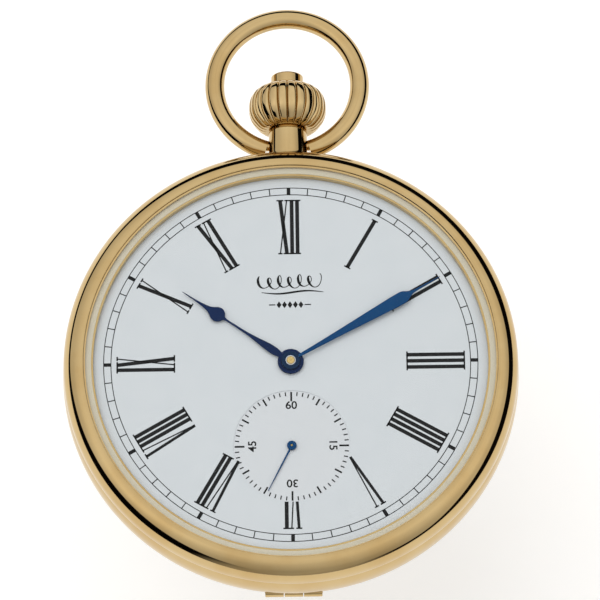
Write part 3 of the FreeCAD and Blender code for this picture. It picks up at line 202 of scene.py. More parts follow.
def printing_ink():
    """Pad-printed black with a slightly uneven, half-matt face."""
    r = Recipe("printing_ink")
    grain = r.noise(r.place(), 14.0, 3.0)
    colour = r.mix(grain, (0.004, 0.004, 0.005), (0.012, 0.012, 0.013))
    return r.surface(Base_Color=colour, Roughness=0.42 + grain * 0.2, Specular_IOR_Level=0.12,
                     Normal=r.bump(grain, 0.1))


def blued_steel(name, base, violet):
    """Steel tempered blue: the tint drifts along the piece and a fine brushed grain runs in it."""
    r = Recipe(name)
    spot = r.place()
    drift = r.noise(spot, 0.12, 2.0)
    grain = r.noise(r.place(turn=(0, 0, 0.5), scale=(0.6, 14, 1)), 3.0, 2.0)
    colour = r.mix(drift.step(0.3, 0.7), base, violet)
    return r.surface(Base_Color=colour, Metallic=0.3, Roughness=0.36 + grain * 0.12,
                     Specular_IOR_Level=0.12, Normal=r.bump(grain, 0.04))


def clear_crystal():
    """Mineral glass: what is behind shows through, and the gloss grows at a glancing angle."""
    r = Recipe("clear_crystal")
    smear = r.noise(r.place(), 0.25, 3.0)
    glance = r.node("ShaderNodeLayerWeight", sockets={"Blend": 0.12}, out="Fresnel")
    clear = r.node("ShaderNodeBsdfTransparent", sockets={"Color": (0.985, 0.992, 0.99, 1)})
    gloss = r.node("ShaderNodeBsdfPrincipled", sockets={
        "Base Color": (0.92, 0.95, 0.95, 1), "Metallic": 0.0, "Roughness": smear * 0.03 + 0.015,
        "IOR": 1.5, "Alpha": 1.0, "Specular IOR Level": 0.8})
    both = r.node("ShaderNodeMixShader", sockets={0: glance * 0.22 + 0.004, 1: clear, 2: gloss})
    r.node("ShaderNodeOutputMaterial", sockets={"Surface": both})
    return r.material


NICKEL = (0.62, 0.60, 0.56)


def striped_nickel(name, angle, base=NICKEL, pitch=1.15):
    """Plates ruled with broad waves: each stripe brightens to its edge, then drops."""
    r = Recipe(name)
    x = r.axes(r.place(turn=(0, 0, angle)))[0]
    saw = (x / pitch).part()
    grain = r.noise(r.place(turn=(0, 0, angle + 0.5), scale=(9, 0.7, 1)), 3.0, 3.0)
    wave = (saw - 0.5).size() * 2.0
    shade = saw.step(0.0, 1.0)
    dark = tuple(c * 0.66 for c in base)
    colour = r.mix(shade * 0.8 + grain * 0.2, dark, base)
    return r.surface(Base_Color=colour, Metallic=1.0, Roughness=0.22 + shade * 0.16 + grain * 0.08,
                     Normal=r.bump(wave * 0.6 + grain * 0.15, 0.35))


def pearled_nickel(name, base=NICKEL, pitch=1.2):
    """Plates covered with round spots in rows, each turned with fine rings."""
    r = Recipe(name)
    x, y = r.axes(r.place())[:2]
    u, v = (x / pitch).part() - 0.5, (y / pitch).part() - 0.5
    reach = (u * u + v * v) ** 0.5
    rings = (reach * 60.0).sine() * 0.5 + 0.5
    edge = reach.step(0.38, 0.56)
    dark = tuple(c * 0.7 for c in base)
    colour = r.mix(edge * 0.6 + rings * 0.25, base, dark)
    return r.surface(Base_Color=colour, Metallic=1.0, Roughness=0.24 + rings * 0.12,
                     Normal=r.bump(rings * 0.4 + edge, 0.3))


def turned_metal(name, centre, base, rough=0.2, rings=9.0, rays=0.0):
    """Metal finished about an arbor: fine rings by distance, or rays by angle."""
    r = Recipe(name)
    x, y = r.axes(r.place(centre))[:2]
    reach = (x * x + y * y) ** 0.5
    turn = r.node("ShaderNodeMath", {"operation": "ARCTAN2"}, {0: y, 1: x})
    cloud = r.noise(r.place(centre), 0.8, 3.0)
    circles = (reach * (rings * math.tau)).sine() * 0.5 + 0.5
    depth = 0.05 if rays else 0.12
    if rays:
        circles = ((turn * rays + reach * 3.0).sine() * 0.5 + 0.5) * 0.8 + circles * 0.2
    dark = tuple(c * 0.74 for c in base)
    colour = r.mix(circles * 0.5 + cloud * 0.4, base, dark)
    return r.surface(Base_Color=colour, Metallic=1.0, Roughness=rough + circles * 0.10 + cloud * 0.06,
                     Normal=r.bump(circles, depth))


def bright_steel(name, base=(0.60, 0.61, 0.63), rough=0.14):
    """Polished steel with a fine straight grain."""
    r = Recipe(name)
    grain = r.noise(r.place(turn=(0, 0, 0.4), scale=(0.8, 10, 2)), 2.5, 3.0)
    cloud = r.noise(r.place(), 0.6, 3.0)
    colour = r.mix(cloud, base, tuple(c * 0.82 for c in base))
    return r.surface(Base_Color=colour, Metallic=1.0, Roughness=rough + grain * 0.12,
                     Normal=r.bump(grain, 0.06))


def ruby():
    """Synthetic ruby: deep pink, darker within, and highly polished."""
    r = Recipe("ruby")
    cloud = r.noise(r.place(), 1.5, 2.0)
    colour = r.mix(cloud.step(0.3, 0.7), (0.62, 0.015, 0.09), (0.40, 0.006, 0.05))
    return r.surface(Base_Color=colour, Roughness=0.06 + cloud * 0.03, Coat_Weight=0.6, IOR=1.76,
                     Coat_Roughness=0.03)


def gasket_cream():
    """The soft ring the glass is pressed on: cream, with a matt moulded skin."""
    r = Recipe("gasket_cream")
    grain = r.noise(r.place(), 6.0, 3.0)
    colour = r.mix(grain, (0.66, 0.60, 0.48), (0.58, 0.52, 0.41))
    return r.surface(Base_Color=colour, Roughness=0.5 + grain * 0.2, Normal=r.bump(grain, 0.1))


def pale_floor():
    """A plain pale sheet with a barely seen grain."""
    r = Recipe("pale_floor")
    grain = r.noise(r.place(), 0.4, 4.0)
    colour = r.mix(grain, (0.93, 0.93, 0.93), (0.90, 0.90, 0.90))
    return r.surface(Base_Color=colour, Roughness=0.85, Specular_IOR_Level=0.1,
                     Emission_Color=(1.0, 1.0, 1.0), Emission_Strength=0.22)


GOLD = polished_gold("case_gold")
GOLD_FINE = polished_gold("crown_gold", (0.61, 0.45, 0.225), 0.6)
ENAMEL, INK, CRYSTAL = dial_enamel(), printing_ink(), clear_crystal()
BLUE_HOUR = blued_steel("blued_hour", (0.002, 0.016, 0.075), (0.002, 0.013, 0.062))
BLUE_MINUTE = blued_steel("blued_minute", (0.001, 0.052, 0.165), (0.001, 0.044, 0.145))
BLUE_HUB = blued_steel("blued_hub", (0.004, 0.024, 0.070), (0.004, 0.020, 0.058))
STEEL, RUBY, FLOOR = bright_steel("movement_steel"), ruby(), pale_floor()
SPRING_BLUE = blued_steel("spring_blue", (0.02, 0.06, 0.22), (0.05, 0.04, 0.16))
SCREW_BLUE = blued_steel("screw_blue", (0.012, 0.045, 0.20), (0.02, 0.03, 0.14))


# ---------------------------------------------------------------- surfaces
SHARP = 35.0


def build(name, points, faces, body, material, covers=(), finish=None, sharp=SHARP):
    """A closed piece from arrays of points (millimetres) and faces, turned right side out: the sum of
    the triangles' signed volumes tells which way they face."""
    points = np.asarray(points, float).reshape(-1, 3) * MM
    triangles = []
    for block in faces:
        block = np.asarray(block)
        triangles.append(block[:, :3])
        if block.shape[1] == 4:
            triangles.append(block[:, [0, 2, 3]])
    tri = points[np.concatenate(triangles)]
    if np.einsum("ij,ij->", tri[:, 0], np.cross(tri[:, 1], tri[:, 2])) < 0:
        faces = [np.asarray(block)[:, ::-1] for block in faces]
    mesh = bpy.data.meshes.new(name)
    polygons = [face for block in faces for face in np.asarray(block).tolist()]
    mesh.from_pydata(points.tolist(), [], polygons)
    mesh.materials.append(material)
    mesh.polygons.foreach_set("use_smooth", np.ones(len(mesh.polygons), bool))
    mesh.set_sharp_from_angle(angle=math.radians(sharp))
    mesh.update()
    piece = bpy.data.objects.new(name, mesh)
    bpy.context.scene.collection.objects.link(piece)
    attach(piece, body)
    if covers:
        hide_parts(*covers)
    return piece


def sheet_faces(rows, columns, wrap_rows=False, wrap_columns=True):
    """The quads of a grid of rows by columns, closed either way round."""
    i = np.arange(rows if wrap_rows else rows - 1)[:, None]
    j = np.arange(columns if wrap_columns else columns - 1)[None, :]
    i2, j2 = (i + 1) % rows, (j + 1) % columns
    quad = np.stack(np.broadcast_arrays(i * columns + j, i * columns + j2,
                                        i2 * columns + j2, i2 * columns + j), -1)
    return quad.reshape(-1, 4)


def tube_ends(rings, steps):
    """The triangles that close a tube of rings, on two points that follow the rings' own."""
    count, j = rings * steps, np.arange(steps)
    j2, last = (j + 1) % steps, count - steps
    return [np.stack([np.full(steps, count), j2, j], 1),
            np.stack([np.full(steps, count + 1), last + j, last + j2], 1)]


def rounded(corners, closed=True, steps=5):
    """A profile whose corners are rounded: each corner (r, z, size) becomes a quadratic curve between
    points that far along its two sides, and a corner with no size stays sharp."""
    corners = np.array([c if len(c) == 3 else (*c, 0.0) for c in corners], float)
    p, size = corners[:, :2], corners[:, 2:]
    before, after = np.roll(p, 1, 0) - p, np.roll(p, -1, 0) - p
    if not closed:
        before[0], after[-1] = after[0], before[-1]
    lb, la = np.linalg.norm(before, axis=1)[:, None], np.linalg.norm(after, axis=1)[:, None]
    a, b = p + before / lb * np.minimum(size, lb / 2), p + after / la * np.minimum(size, la / 2)
    s = np.linspace(0, 1, steps)[None, :, None]
    curve = (1 - s) ** 2 * a[:, None] + 2 * s * (1 - s) * p[:, None] + s ** 2 * b[:, None]
    line = curve.reshape(-1, 2)
    gap = np.linalg.norm(line - np.roll(line, 1, 0), axis=1)
    return line[gap > 1e-5]


def arc(centre, radius, start, end, steps=24):
    """Points of a circle's arc from one angle to another, in degrees."""
    t = np.radians(np.linspace(start, end, steps))
    return np.stack([centre[0] + radius * np.cos(t), centre[1] + radius * np.sin(t)], 1)


AXES = {"z": ((1, 0, 0), (0, 1, 0), (0, 0, 1)), "y": ((1, 0, 0), (0, 0, -1), (0, 1, 0)),
        "x": ((0, 1, 0), (0, 0, 1), (1, 0, 0))}


def turned(name, profile, body, material, centre=(0, 0, 0), axis="z", steps=256, ripple=None,
           **more):
    """A lathe surface: each profile point (r, h) is carried round the axis by r cos a, r sin a, h.
    Profile ends on the axis become poles; otherwise the profile is closed into a ring. ripple gives
    a change of radius for each profile point and angle."""
    profile = np.asarray(profile, float)
    on_axis = profile[0, 0] < 1e-6 and profile[-1, 0] < 1e-6
    rim = profile[1:-1] if on_axis else profile
    a = np.linspace(0, 2 * np.pi, steps, endpoint=False)
    radius = np.broadcast_to(rim[:, :1], (len(rim), steps)).copy()
    if ripple is not None:
        radius += ripple(rim, a)
    u, v, w = (np.array(k, float) for k in AXES[axis])
    points = (radius[..., None] * (np.cos(a)[:, None] * u + np.sin(a)[:, None] * v)
              + rim[:, 1, None, None] * w).reshape(-1, 3)
    faces = [sheet_faces(len(rim), steps, wrap_rows=not on_axis)]
    if on_axis:
        faces += tube_ends(len(rim), steps)
        points = np.concatenate([points, np.outer(profile[[0, -1], 1], w)])
    return build(name, points + np.array(centre, float), faces, body, material, **more)


def bored(piece, centre, axis, low, high, radius, steps=48):
    """Takes a round hole out of a finished piece: the cylinder r cos a, r sin a from low to high
    along an axis is cut away, and the result is kept as the piece's own mesh."""
    a = np.linspace(0, 2 * np.pi, steps, endpoint=False)
    u, v, w = (np.array(k, float) for k in AXES[axis])
    ring = radius * (np.cos(a)[:, None] * u + np.sin(a)[:, None] * v) + np.array(centre, float)
    points = np.concatenate([ring + low * w, ring + high * w]) * MM
    caps = [list(range(steps))[::-1], list(range(steps, 2 * steps))]
    mesh = bpy.data.meshes.new("drill")
    mesh.from_pydata(points.tolist(), [], sheet_faces(2, steps).tolist() + caps)
    drill = bpy.data.objects.new("drill", mesh)
    bpy.context.scene.collection.objects.link(drill)
    change = piece.modifiers.new("hole", "BOOLEAN")
    change.operation, change.solver, change.object = "DIFFERENCE", "EXACT", drill
    state = bpy.context.evaluated_depsgraph_get()
    result = bpy.data.meshes.new_from_object(piece.evaluated_get(state))
    if len(result.polygons) < len(piece.data.polygons) / 2:
        raise RuntimeError("the hole took away too much of " + piece.name)
    piece.modifiers.clear()
    piece.data = result
    result.set_sharp_from_angle(angle=math.radians(SHARP))
    bpy.data.objects.remove(drill)


def bars(name, quads, low, high, body, material, **more):
    """Flat four-cornered strokes (n, 4, 2) raised from one height to another."""
    quads = np.asarray(quads, float)
    n = len(quads)
    level = np.array([low, high])
    points = np.concatenate([np.broadcast_to(quads[:, None], (n, 2, 4, 2)),
                             np.broadcast_to(level[None, :, None, None], (n, 2, 4, 1))], -1)
    box = np.array([[3, 2, 1, 0], [4, 5, 6, 7], [0, 1, 5, 4], [1, 2, 6, 5], [2, 3, 7, 6],
                    [3, 0, 4, 7]])
    area = np.cross(quads[:, 2] - quads[:, 0], quads[:, 3] - quads[:, 1])
    points[area < 0] = points[area < 0][:, :, ::-1]
    faces = (np.arange(n)[:, None, None] * 8 + box[None]).reshape(-1, 4)
    return build(name, points, [faces], body, material, **more)


def blade(name, line, thickness, level, pivot, bearing, body, material, rows=140, around=24,
          **more):
    """A hand: pairs of (distance, half width) joined by a smooth curve; its section is a flattened
    dome, x = width cos a, height = thickness (0.5 + 0.5 sin a to the power 0.6), turned to its
    bearing clockwise from +Y."""
    line = np.array(line, float)
    t = np.linspace(0, 1, rows)
    along = line[0, 0] + (line[-1, 0] - line[0, 0]) * t
    width = smooth_curve(line[:, 0], line[:, 1], along)
    a = np.linspace(0, 2 * np.pi, around, endpoint=False)
    x = width[:, None] * np.sign(np.cos(a)) * np.abs(np.cos(a)) ** 0.55
    z = thickness * (0.5 + 0.5 * np.sign(np.sin(a)) * np.abs(np.sin(a)) ** 0.6) + 0 * x
    y = along[:, None] + 0 * x
    b = math.radians(bearing)
    px, py = x * math.cos(b) + y * math.sin(b), -x * math.sin(b) + y * math.cos(b)
    points = np.stack([px + pivot[0], py + pivot[1], z + level], -1).reshape(-1, 3)
    ends = points.reshape(rows, around, 3)[[0, -1]].mean(1)
    faces = [sheet_faces(rows, around)] + tube_ends(rows, around)
    return build(name, np.concatenate([points, ends]), faces, body, material, **more)


def smooth_curve(x, y, at):
    """Values between given ones by a cubic through them whose slopes never overshoot."""
    step = np.diff(y) / np.diff(x)
    slope = np.concatenate([step[:1], (step[1:] + step[:-1]) / 2, step[-1:]])
    slope[1:-1][step[1:] * step[:-1] <= 0] = 0.0
    k = np.clip(np.searchsorted(x, at) - 1, 0, len(x) - 2)
    h = np.diff(x)[k]
    s = (at - x[k]) / h
    return ((1 + 2 * s) * (1 - s) ** 2 * y[k] + s * (1 - s) ** 2 * h * slope[k]
            + s * s * (3 - 2 * s) * y[k + 1] + s * s * (s - 1) * h * slope[k + 1])


def ribbon(name, path, widths, low, high, body, material, **more):
    """A flat stroke: at each path point the section is a rectangle across the path's direction, as
    wide as given there and reaching from one height to another."""
    path, widths = np.asarray(path, float), np.asarray(widths, float)
    run = np.gradient(path, axis=0)
    run /= np.linalg.norm(run, axis=1)[:, None]
    side = np.stack([-run[:, 1], run[:, 0]], 1) * widths[:, None] / 2
    left, right = path + side, path - side
    level = np.ones(len(path))
    corners = (left, low), (right, low), (right, high), (left, high)
    section = np.stack([np.column_stack([line, height * level]) for line, height in corners], 1)
    last = 4 * (len(path) - 1)
    ends = [np.array([[3, 2, 1, 0]]), np.array([[last, last + 1, last + 2, last + 3]])]
    return build(name, section, [sheet_faces(len(path), 4)] + ends, body, material, **more)


def wire(name, path, radius, body, material, steps=48, **more):
    """A round wire along a path lying in the x-y plane: at each point a circle of the wire's radius
    across the path, r cos a sideways and r sin a upwards, with flat ends."""
    path = np.asarray(path, float)
    run = np.gradient(path, axis=0)
    run /= np.linalg.norm(run, axis=1)[:, None]
    side = np.stack([run[:, 1], -run[:, 0], 0 * run[:, 0]], 1)
    a = np.linspace(0, 2 * np.pi, steps, endpoint=False)
    up = np.array([0, 0, 1.0])
    rings = path[:, None] + radius * (np.cos(a)[:, None] * side[:, None] + np.sin(a)[:, None] * up)
    points = np.concatenate([rings.reshape(-1, 3), path[[0, -1]]])
    faces = [sheet_faces(len(path), steps)] + tube_ends(len(path), steps)
    return build(name, points, faces, body, material, **more)


# ---------------------------------------------------------------- case
# Levels above the watch's back, in millimetres: where the band meets the cover and the bezel, the top
# of the rebate that the bezel snaps on, the glass's seat in the bezel and the cover's lip.
BAND_FOOT, BAND_HEAD, REBATE_TOP, GLASS_SEAT, LIP_TOP = 2.3, 6.9, 7.5, 8.86, 3.16
COVER_WALL, SEAM = 0.8, 0.02
# Radii: the band's recess for the cover's lip, its rebate and its bore, the bezel's opening and the
# bore that holds the glass, the lip's outside and inside, and the cover's flat middle.
LIP_RECESS, REBATE, BAND_BORE, OPENING, GLASS_BORE = 22.6, 23.0, 21.2, 21.5, 22.38
LIP_OUTER, LIP_INNER, COVER_FLAT = 22.5, 21.95, 14.0
# Radii of the round of the band's wall, of the bezel's shoulder and of the cover's dish, and the outer
# edges of the band, the bezel and the cover.
BAND_BULGE, BEZEL_ROUND, COVER_DISH = 5.54, 2.33, 25.19
band_edge, bezel_edge, cover_edge = case_radius - 0.5, case_radius - 0.15, case_radius - 0.57

bulge = arc((case_radius - BAND_BULGE, stem_level), BAND_BULGE, -24.5, 24.5, 17)
band_rim = rounded([(LIP_RECESS, BAND_FOOT), (band_edge, BAND_FOOT, 0.12), *bulge,
                    (band_edge, BAND_HEAD, 0.12), (REBATE, BAND_HEAD), (REBATE, REBATE_TOP),
                    (BAND_BORE, REBATE_TOP), (BAND_BORE, 3.3), (LIP_RECESS, 3.3)])
band_shell = turned("band_shell", band_rim, "case", GOLD, covers=["case_band"], finish="case_gold",
                    steps=360)
shoulder = arc((22.5, 7.3), BEZEL_ROUND, 2.0, 79.5, 22)
bezel_foot, bezel_inside = BAND_HEAD + SEAM, REBATE + 0.05
bezel_rim = rounded([(bezel_inside, bezel_foot), (bezel_edge, bezel_foot, 0.1),
                     (bezel_edge, 7.3, 0.15), *shoulder, (22.58, 9.6, 0.05), (22.55, 9.34, 0.03),
                     (GLASS_BORE, 9.3), (GLASS_BORE, GLASS_SEAT), (OPENING, GLASS_SEAT, 0.05), (OPENING, 8.1),
                     (22.1, 8.1), (22.1, 7.62), (bezel_inside, 7.62)])
turned("bezel_shell", bezel_rim, "case", GOLD, covers=["bezel"], finish="case_gold", steps=360)

cover_head = BAND_FOOT - SEAM
dish = arc((COVER_FLAT, COVER_DISH), COVER_DISH, -90, -65.62, 22)
lip = rounded([(cover_edge, cover_head), (LIP_OUTER, cover_head), (LIP_OUTER, LIP_TOP, 0.08),
               (LIP_INNER, LIP_TOP, 0.08), (LIP_INNER, 1.95, 0.2), (COVER_FLAT, COVER_WALL + 0.04),
               (COVER_FLAT / 2, COVER_WALL)], closed=False)
cover_rim = [(0, 0), (COVER_FLAT / 2, 0), *dish, *lip, (0, COVER_WALL)]
cover_shell = turned("back_cover_shell", cover_rim, "cover", GOLD, covers=["back_cover"],
                     finish="case_gold", steps=360)

# The hinge: three knuckles on one pin, and the room that each shell leaves for the others' knuckles.
KNUCKLE_PITCH, KNUCKLE_HALF, KNUCKLE_RADIUS, PIN_BORE, KNUCKLE_ROOM = 2.1, 1.0, 0.64, 0.26, 0.74
for label, place, body in (("band_knuckle_left", -KNUCKLE_PITCH, "case"),
                           ("cover_knuckle", 0.0, "cover"),
                           ("band_knuckle_right", KNUCKLE_PITCH, "case")):
    low, high = place - KNUCKLE_HALF, place + KNUCKLE_HALF
    knuckle = rounded([(PIN_BORE, low), (KNUCKLE_RADIUS, low, 0.06), (KNUCKLE_RADIUS, high, 0.06),
                       (PIN_BORE, high)])
    turned(label, knuckle, body, GOLD, centre=hinge_place, axis="x", steps=64, finish="case_gold")

for low, high, shell in ((1.02, 3.2, cover_shell), (-3.2, -1.02, cover_shell),
                         (-1.06, 1.06, band_shell)):
    bored(shell, hinge_place, "x", low, high, KNUCKLE_ROOM)
bored(band_shell, (0, 0, stem_level), "y", 20.0, 25.4, sleeve_radius + 0.04)


def dome(edge, low, high, steps=30):
    """Points from the edge up to the axis on the ball through both."""
    ball = (edge ** 2 + (high - low) ** 2) / (2 * (high - low))
    r = np.linspace(edge, 0, steps)
    return np.stack([r, high - ball + np.sqrt(ball ** 2 - r ** 2)], 1)


GLASS_INNER, GLASS_FOOT, GLASS_SHOULDER = 21.3, 8.9, 9.45
glass_edge = rounded([(GLASS_INNER, GLASS_FOOT), (crystal_edge, GLASS_FOOT, 0.03),
                      (crystal_edge, 9.3, 0.08), (crystal_edge - 0.4, GLASS_SHOULDER, 0.05)],
                     closed=False)
glass = np.concatenate([dome(GLASS_INNER, GLASS_FOOT, 9.5)[::-1], glass_edge[1:],
                        dome(crystal_edge - 0.4, GLASS_SHOULDER, crystal_top)[1:]])
turned("crystal_glass", glass, "case", CRYSTAL, covers=["crystal"], finish="crystal", steps=256)

gasket = [(21.74, GLASS_SEAT), (22.37, GLASS_SEAT), (22.37, 8.895), (21.74, 8.895)]
turned("crystal_gasket", gasket, "case", gasket_cream(), steps=256)

# ---------------------------------------------------------------- neck, crown, button and bow
NECK_RADIUS, NECK_BORE = 2.15, 1.57
neck_top = crown_low - 0.17
stem_line = {"centre": (0, 0, stem_level), "axis": "y", "finish": "case_gold"}
flare = [(NECK_RADIUS + 0.75 * (1 - s) ** 2, 24.55 + 0.95 * s) for s in np.linspace(0, 1, 9)]
neck_head = rounded([(NECK_RADIUS, 25.6), (NECK_RADIUS, neck_top, 0.12), (NECK_BORE, neck_top, 0.1)],
                    closed=False)
neck_rim = [(NECK_BORE, 23.8), (NECK_RADIUS + 0.75, 23.8), *flare, *neck_head]
turned("neck_tube", neck_rim, "case", GOLD, steps=128, covers=["pendant"], **stem_line)

RIBS, GROOVE, CROWN_SOCKET = 24, 0.42, 32.7
crown_curve = np.array([(2.15, 28.50), (2.75, 28.56), (3.15, 28.78), (3.55, 29.18), (3.92, 29.65),
                        (4.2, 30.3), (4.31, 31.0), (4.28, 31.7), (4.12, 32.35), (3.78, 32.92),
                        (3.3, 33.32), (2.8, 33.6), (2.35, 33.78), (2.0, 33.88)])
reach = np.concatenate([[0], np.cumsum(np.linalg.norm(np.diff(crown_curve, axis=0), axis=1))])
fine = np.linspace(0, reach[-1], 56)
crown_line = np.stack([smooth_curve(reach, crown_curve[:, 0], fine),
                       smooth_curve(reach, crown_curve[:, 1], fine)], 1)
crown_rim = np.concatenate([[(0, crown_low), (1.2, crown_low)], crown_line,
                            [(1.88, crown_high - 0.02), (1.86, CROWN_SOCKET),
                             (0, CROWN_SOCKET)]])


def ribs(profile, a):
    """Depth of the grooves, as a change of radius: each rib's section is the top of a squared
    ellipse, and the grooves fade out towards the crown's foot and its top edge."""
    phase = ((a / (2 * np.pi) * RIBS) % 1.0) * 2 - 1
    cut = 1 - np.sqrt(1 - 0.985 * np.abs(phase) ** 4)
    r = profile[:, 0]
    fade = np.clip((r - 2.1) / 1.2, 0, 1) * (r > 1.9)
    return -GROOVE * (fade ** 0.7)[:, None] * cut[None, :]


turned("crown_shell", crown_rim, "crown_stem", GOLD_FINE, steps=RIBS * 28, ripple=ribs,
       covers=["crown"], sharp=50, **stem_line)

BUTTON_RADIUS, BUTTON_RISE = 1.8, 0.09
button_side = rounded([(BUTTON_RADIUS, button_low), (BUTTON_RADIUS, button_top - 0.3, 0.14),
                       (1.5, button_top - 0.12, 0.1)], closed=False)
button_rim = [(0, button_low), (1.0, button_low), *button_side,
              *dome(1.3, button_top - BUTTON_RISE, button_top, 8)]
turned("button_cap", button_rim, "button", GOLD_FINE, steps=96, covers=["push_button"], **stem_line)

BOW_RADIUS, BOW_WIRE = 8.1, 1.07
bow_middle = bow_top - BOW_WIRE - BOW_RADIUS
gap = math.degrees(math.asin(2.35 / BOW_RADIUS))
loop = arc((0, bow_middle), BOW_RADIUS, -90 + gap, 270 - gap, 220)
wire("bow_wire", np.column_stack([loop, np.full(len(loop), stem_level)]), BOW_WIRE, "bow", GOLD,
     steps=64, covers=["bow"], finish="case_gold", sharp=50)
pin_place = (0, neck_top - 1.65, stem_level)
PIN_RADIUS, PIN_START, PIN_END = 0.49, 1.62, 2.8
for side, label in ((1, "bow_pin_right"), (-1, "bow_pin_left")):
    shape = [(0, PIN_START * side), (0.3, PIN_START * side), (PIN_RADIUS, 1.7 * side),
             (PIN_RADIUS, PIN_END * side), (0, PIN_END * side)]
    turned(label, shape, "bow", GOLD, centre=pin_place, axis="x", steps=48, finish="case_gold")


# ---------------------------------------------------------------- printing on the dial
ink = {"body": "case", "material": INK}
ink_top = dial_top + INK_HIGH


def rotated(quads, angle, centre=(0, 0)):
    """Quads drawn upright (right, outward) carried to an angle clockwise from twelve."""
    c, s = math.cos(math.radians(angle)), math.sin(math.radians(angle))
    quads = np.asarray(quads, float)
    x, y = quads[..., 0], quads[..., 1]
    return np.stack([x * c + y * s + centre[0], -x * s + y * c + centre[1]], -1)


def stroke(x1, h1, x2, h2, width):
    """The four corners of a stroke with level ends, from its lower to its upper middle."""
    return [(x1 - width / 2, h1), (x1 + width / 2, h1), (x2 + width / 2, h2), (x2 - width / 2, h2)]


# The hour numerals: their feet's distance from the middle, their height and their strokes' widths,
# the bar across a stroke's end and how far it reaches past the stroke, and where VI is cut off.
FOOT, TALL, THICK, THIN = 12.6, 6.4, 0.42, 0.14
BAR, BAR_REACH, VI_CUT = 0.16, 0.34, 3.3


def numeral(text, cut=0.0):
    """The quads of a Roman numeral: thick and thin strokes with a thin bar across each end. Strokes
    start at cut, a height above the feet."""
    pitch = {"III": 0.71, "IIII": 0.62}.get(text, 0.60)
    advance = {"I": pitch, "V": 1.30, "X": 1.24}
    at, quads = -sum(advance[k] for k in text) / 2, []
    for letter in text:
        x = at + advance[letter] / 2
        at += advance[letter]
        lines = {"I": [(x, x, THICK)],
                 "V": [(x, x - 0.38, THICK * 0.75), (x + 0.06, x + 0.42, THIN)],
                 "X": [(x + 0.36, x - 0.36, THICK), (x - 0.38, x + 0.38, THIN)]}[letter]
        for low, high, width in lines:
            low_x = low + (high - low) * cut / TALL
            quads.append(stroke(low_x, FOOT + cut, high, FOOT + TALL, width))
            quads.append(stroke(high, FOOT + TALL - BAR, high, FOOT + TALL, width + BAR_REACH))
            if letter != "V" and not cut:
                quads.append(stroke(low, FOOT, low, FOOT + BAR, width + BAR_REACH))
    return quads


HOURS = ["XII", "I", "II", "III", "IIII", "V", "VI", "VII", "VIII", "IX", "X", "XI"]
strokes = np.concatenate([rotated(numeral(text, VI_CUT if text == "VI" else 0.0), 30 * k)
                          for k, text in enumerate(HOURS)])
bars("hour_numerals", strokes, dial_top, ink_top, **ink)
ticks = np.concatenate([rotated([stroke(0, MINUTE_TRACK[0], 0, MINUTE_TRACK[1],
                                        0.40 if k % 5 == 0 else 0.11)], 6 * k) for k in range(60)])
bars("minute_ticks", ticks, dial_top, ink_top, **ink)
LINE = 0.09
for label, r in zip(("minute_track_inner", "minute_track_outer"), MINUTE_TRACK):
    turned(label, [(r - LINE / 2, dial_top), (r + LINE / 2, dial_top), (r + LINE / 2, ink_top),
                   (r - LINE / 2, ink_top)], steps=256, **ink)

sunk_face = dial_top - SUNK_DEPTH
small = []
for k in range(60):
    length, width = (1.07, 0.20) if k % 15 == 0 else (0.85, 0.19) if k % 5 == 0 else (0.45, 0.13)
    small.append(rotated([stroke(0, SECONDS_TRACK - length, 0, SECONDS_TRACK, width)], 6 * k,
                         seconds_place))
bars("seconds_ticks", np.concatenate(small), sunk_face, sunk_face + INK_HIGH, **ink)

CAP_HEIGHT, FIGURE_HEIGHT, FIGURE_WIDTH, FIGURE_WEIGHT = 0.7, 0.86, 1.05, 0.02


def lettering(name, text, height, radius, angle, level):
    """Figures as a solid mesh, their middle at a radius from the seconds hand's arbor and an angle
    clockwise from twelve, with their tops outwards."""
    curve = bpy.data.curves.new(name, "FONT")
    curve.body, curve.align_x, curve.align_y = text, "CENTER", "CENTER"
    curve.size, curve.extrude = height / CAP_HEIGHT * MM, INK_HIGH / 2 * MM
    curve.offset = FIGURE_WEIGHT * MM
    shape = bpy.data.objects.new(name + "_shape", curve)
    mesh = bpy.data.meshes.new_from_object(shape)
    bpy.data.objects.remove(shape)
    corners = np.empty(len(mesh.vertices) * 3)
    mesh.vertices.foreach_get("co", corners)
    corners = corners.reshape(-1, 3) / MM
    corners[:, :2] -= (corners[:, :2].max(0) + corners[:, :2].min(0)) / 2
    corners[:, 0] *= FIGURE_WIDTH
    corners[:, 1] += radius
    corners[:, :2] = rotated(corners[:, :2], angle, seconds_place)
    corners[:, 2] += level + INK_HIGH / 2
    mesh.vertices.foreach_set("co", corners.ravel() * MM)
    mesh.name = name
    mesh.materials.clear()
    mesh.materials.append(INK)
    mesh.update()
    piece = bpy.data.objects.new(name, mesh)
    bpy.context.scene.collection.objects.link(piece)
    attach(piece, "case")


for text, radius, angle in (("60", 4.7, 0), ("15", 4.5, 90), ("30", 4.25, 180), ("45", 4.3, 270)):
    lettering("seconds_figure_" + text, text, FIGURE_HEIGHT, radius, angle, sunk_face)

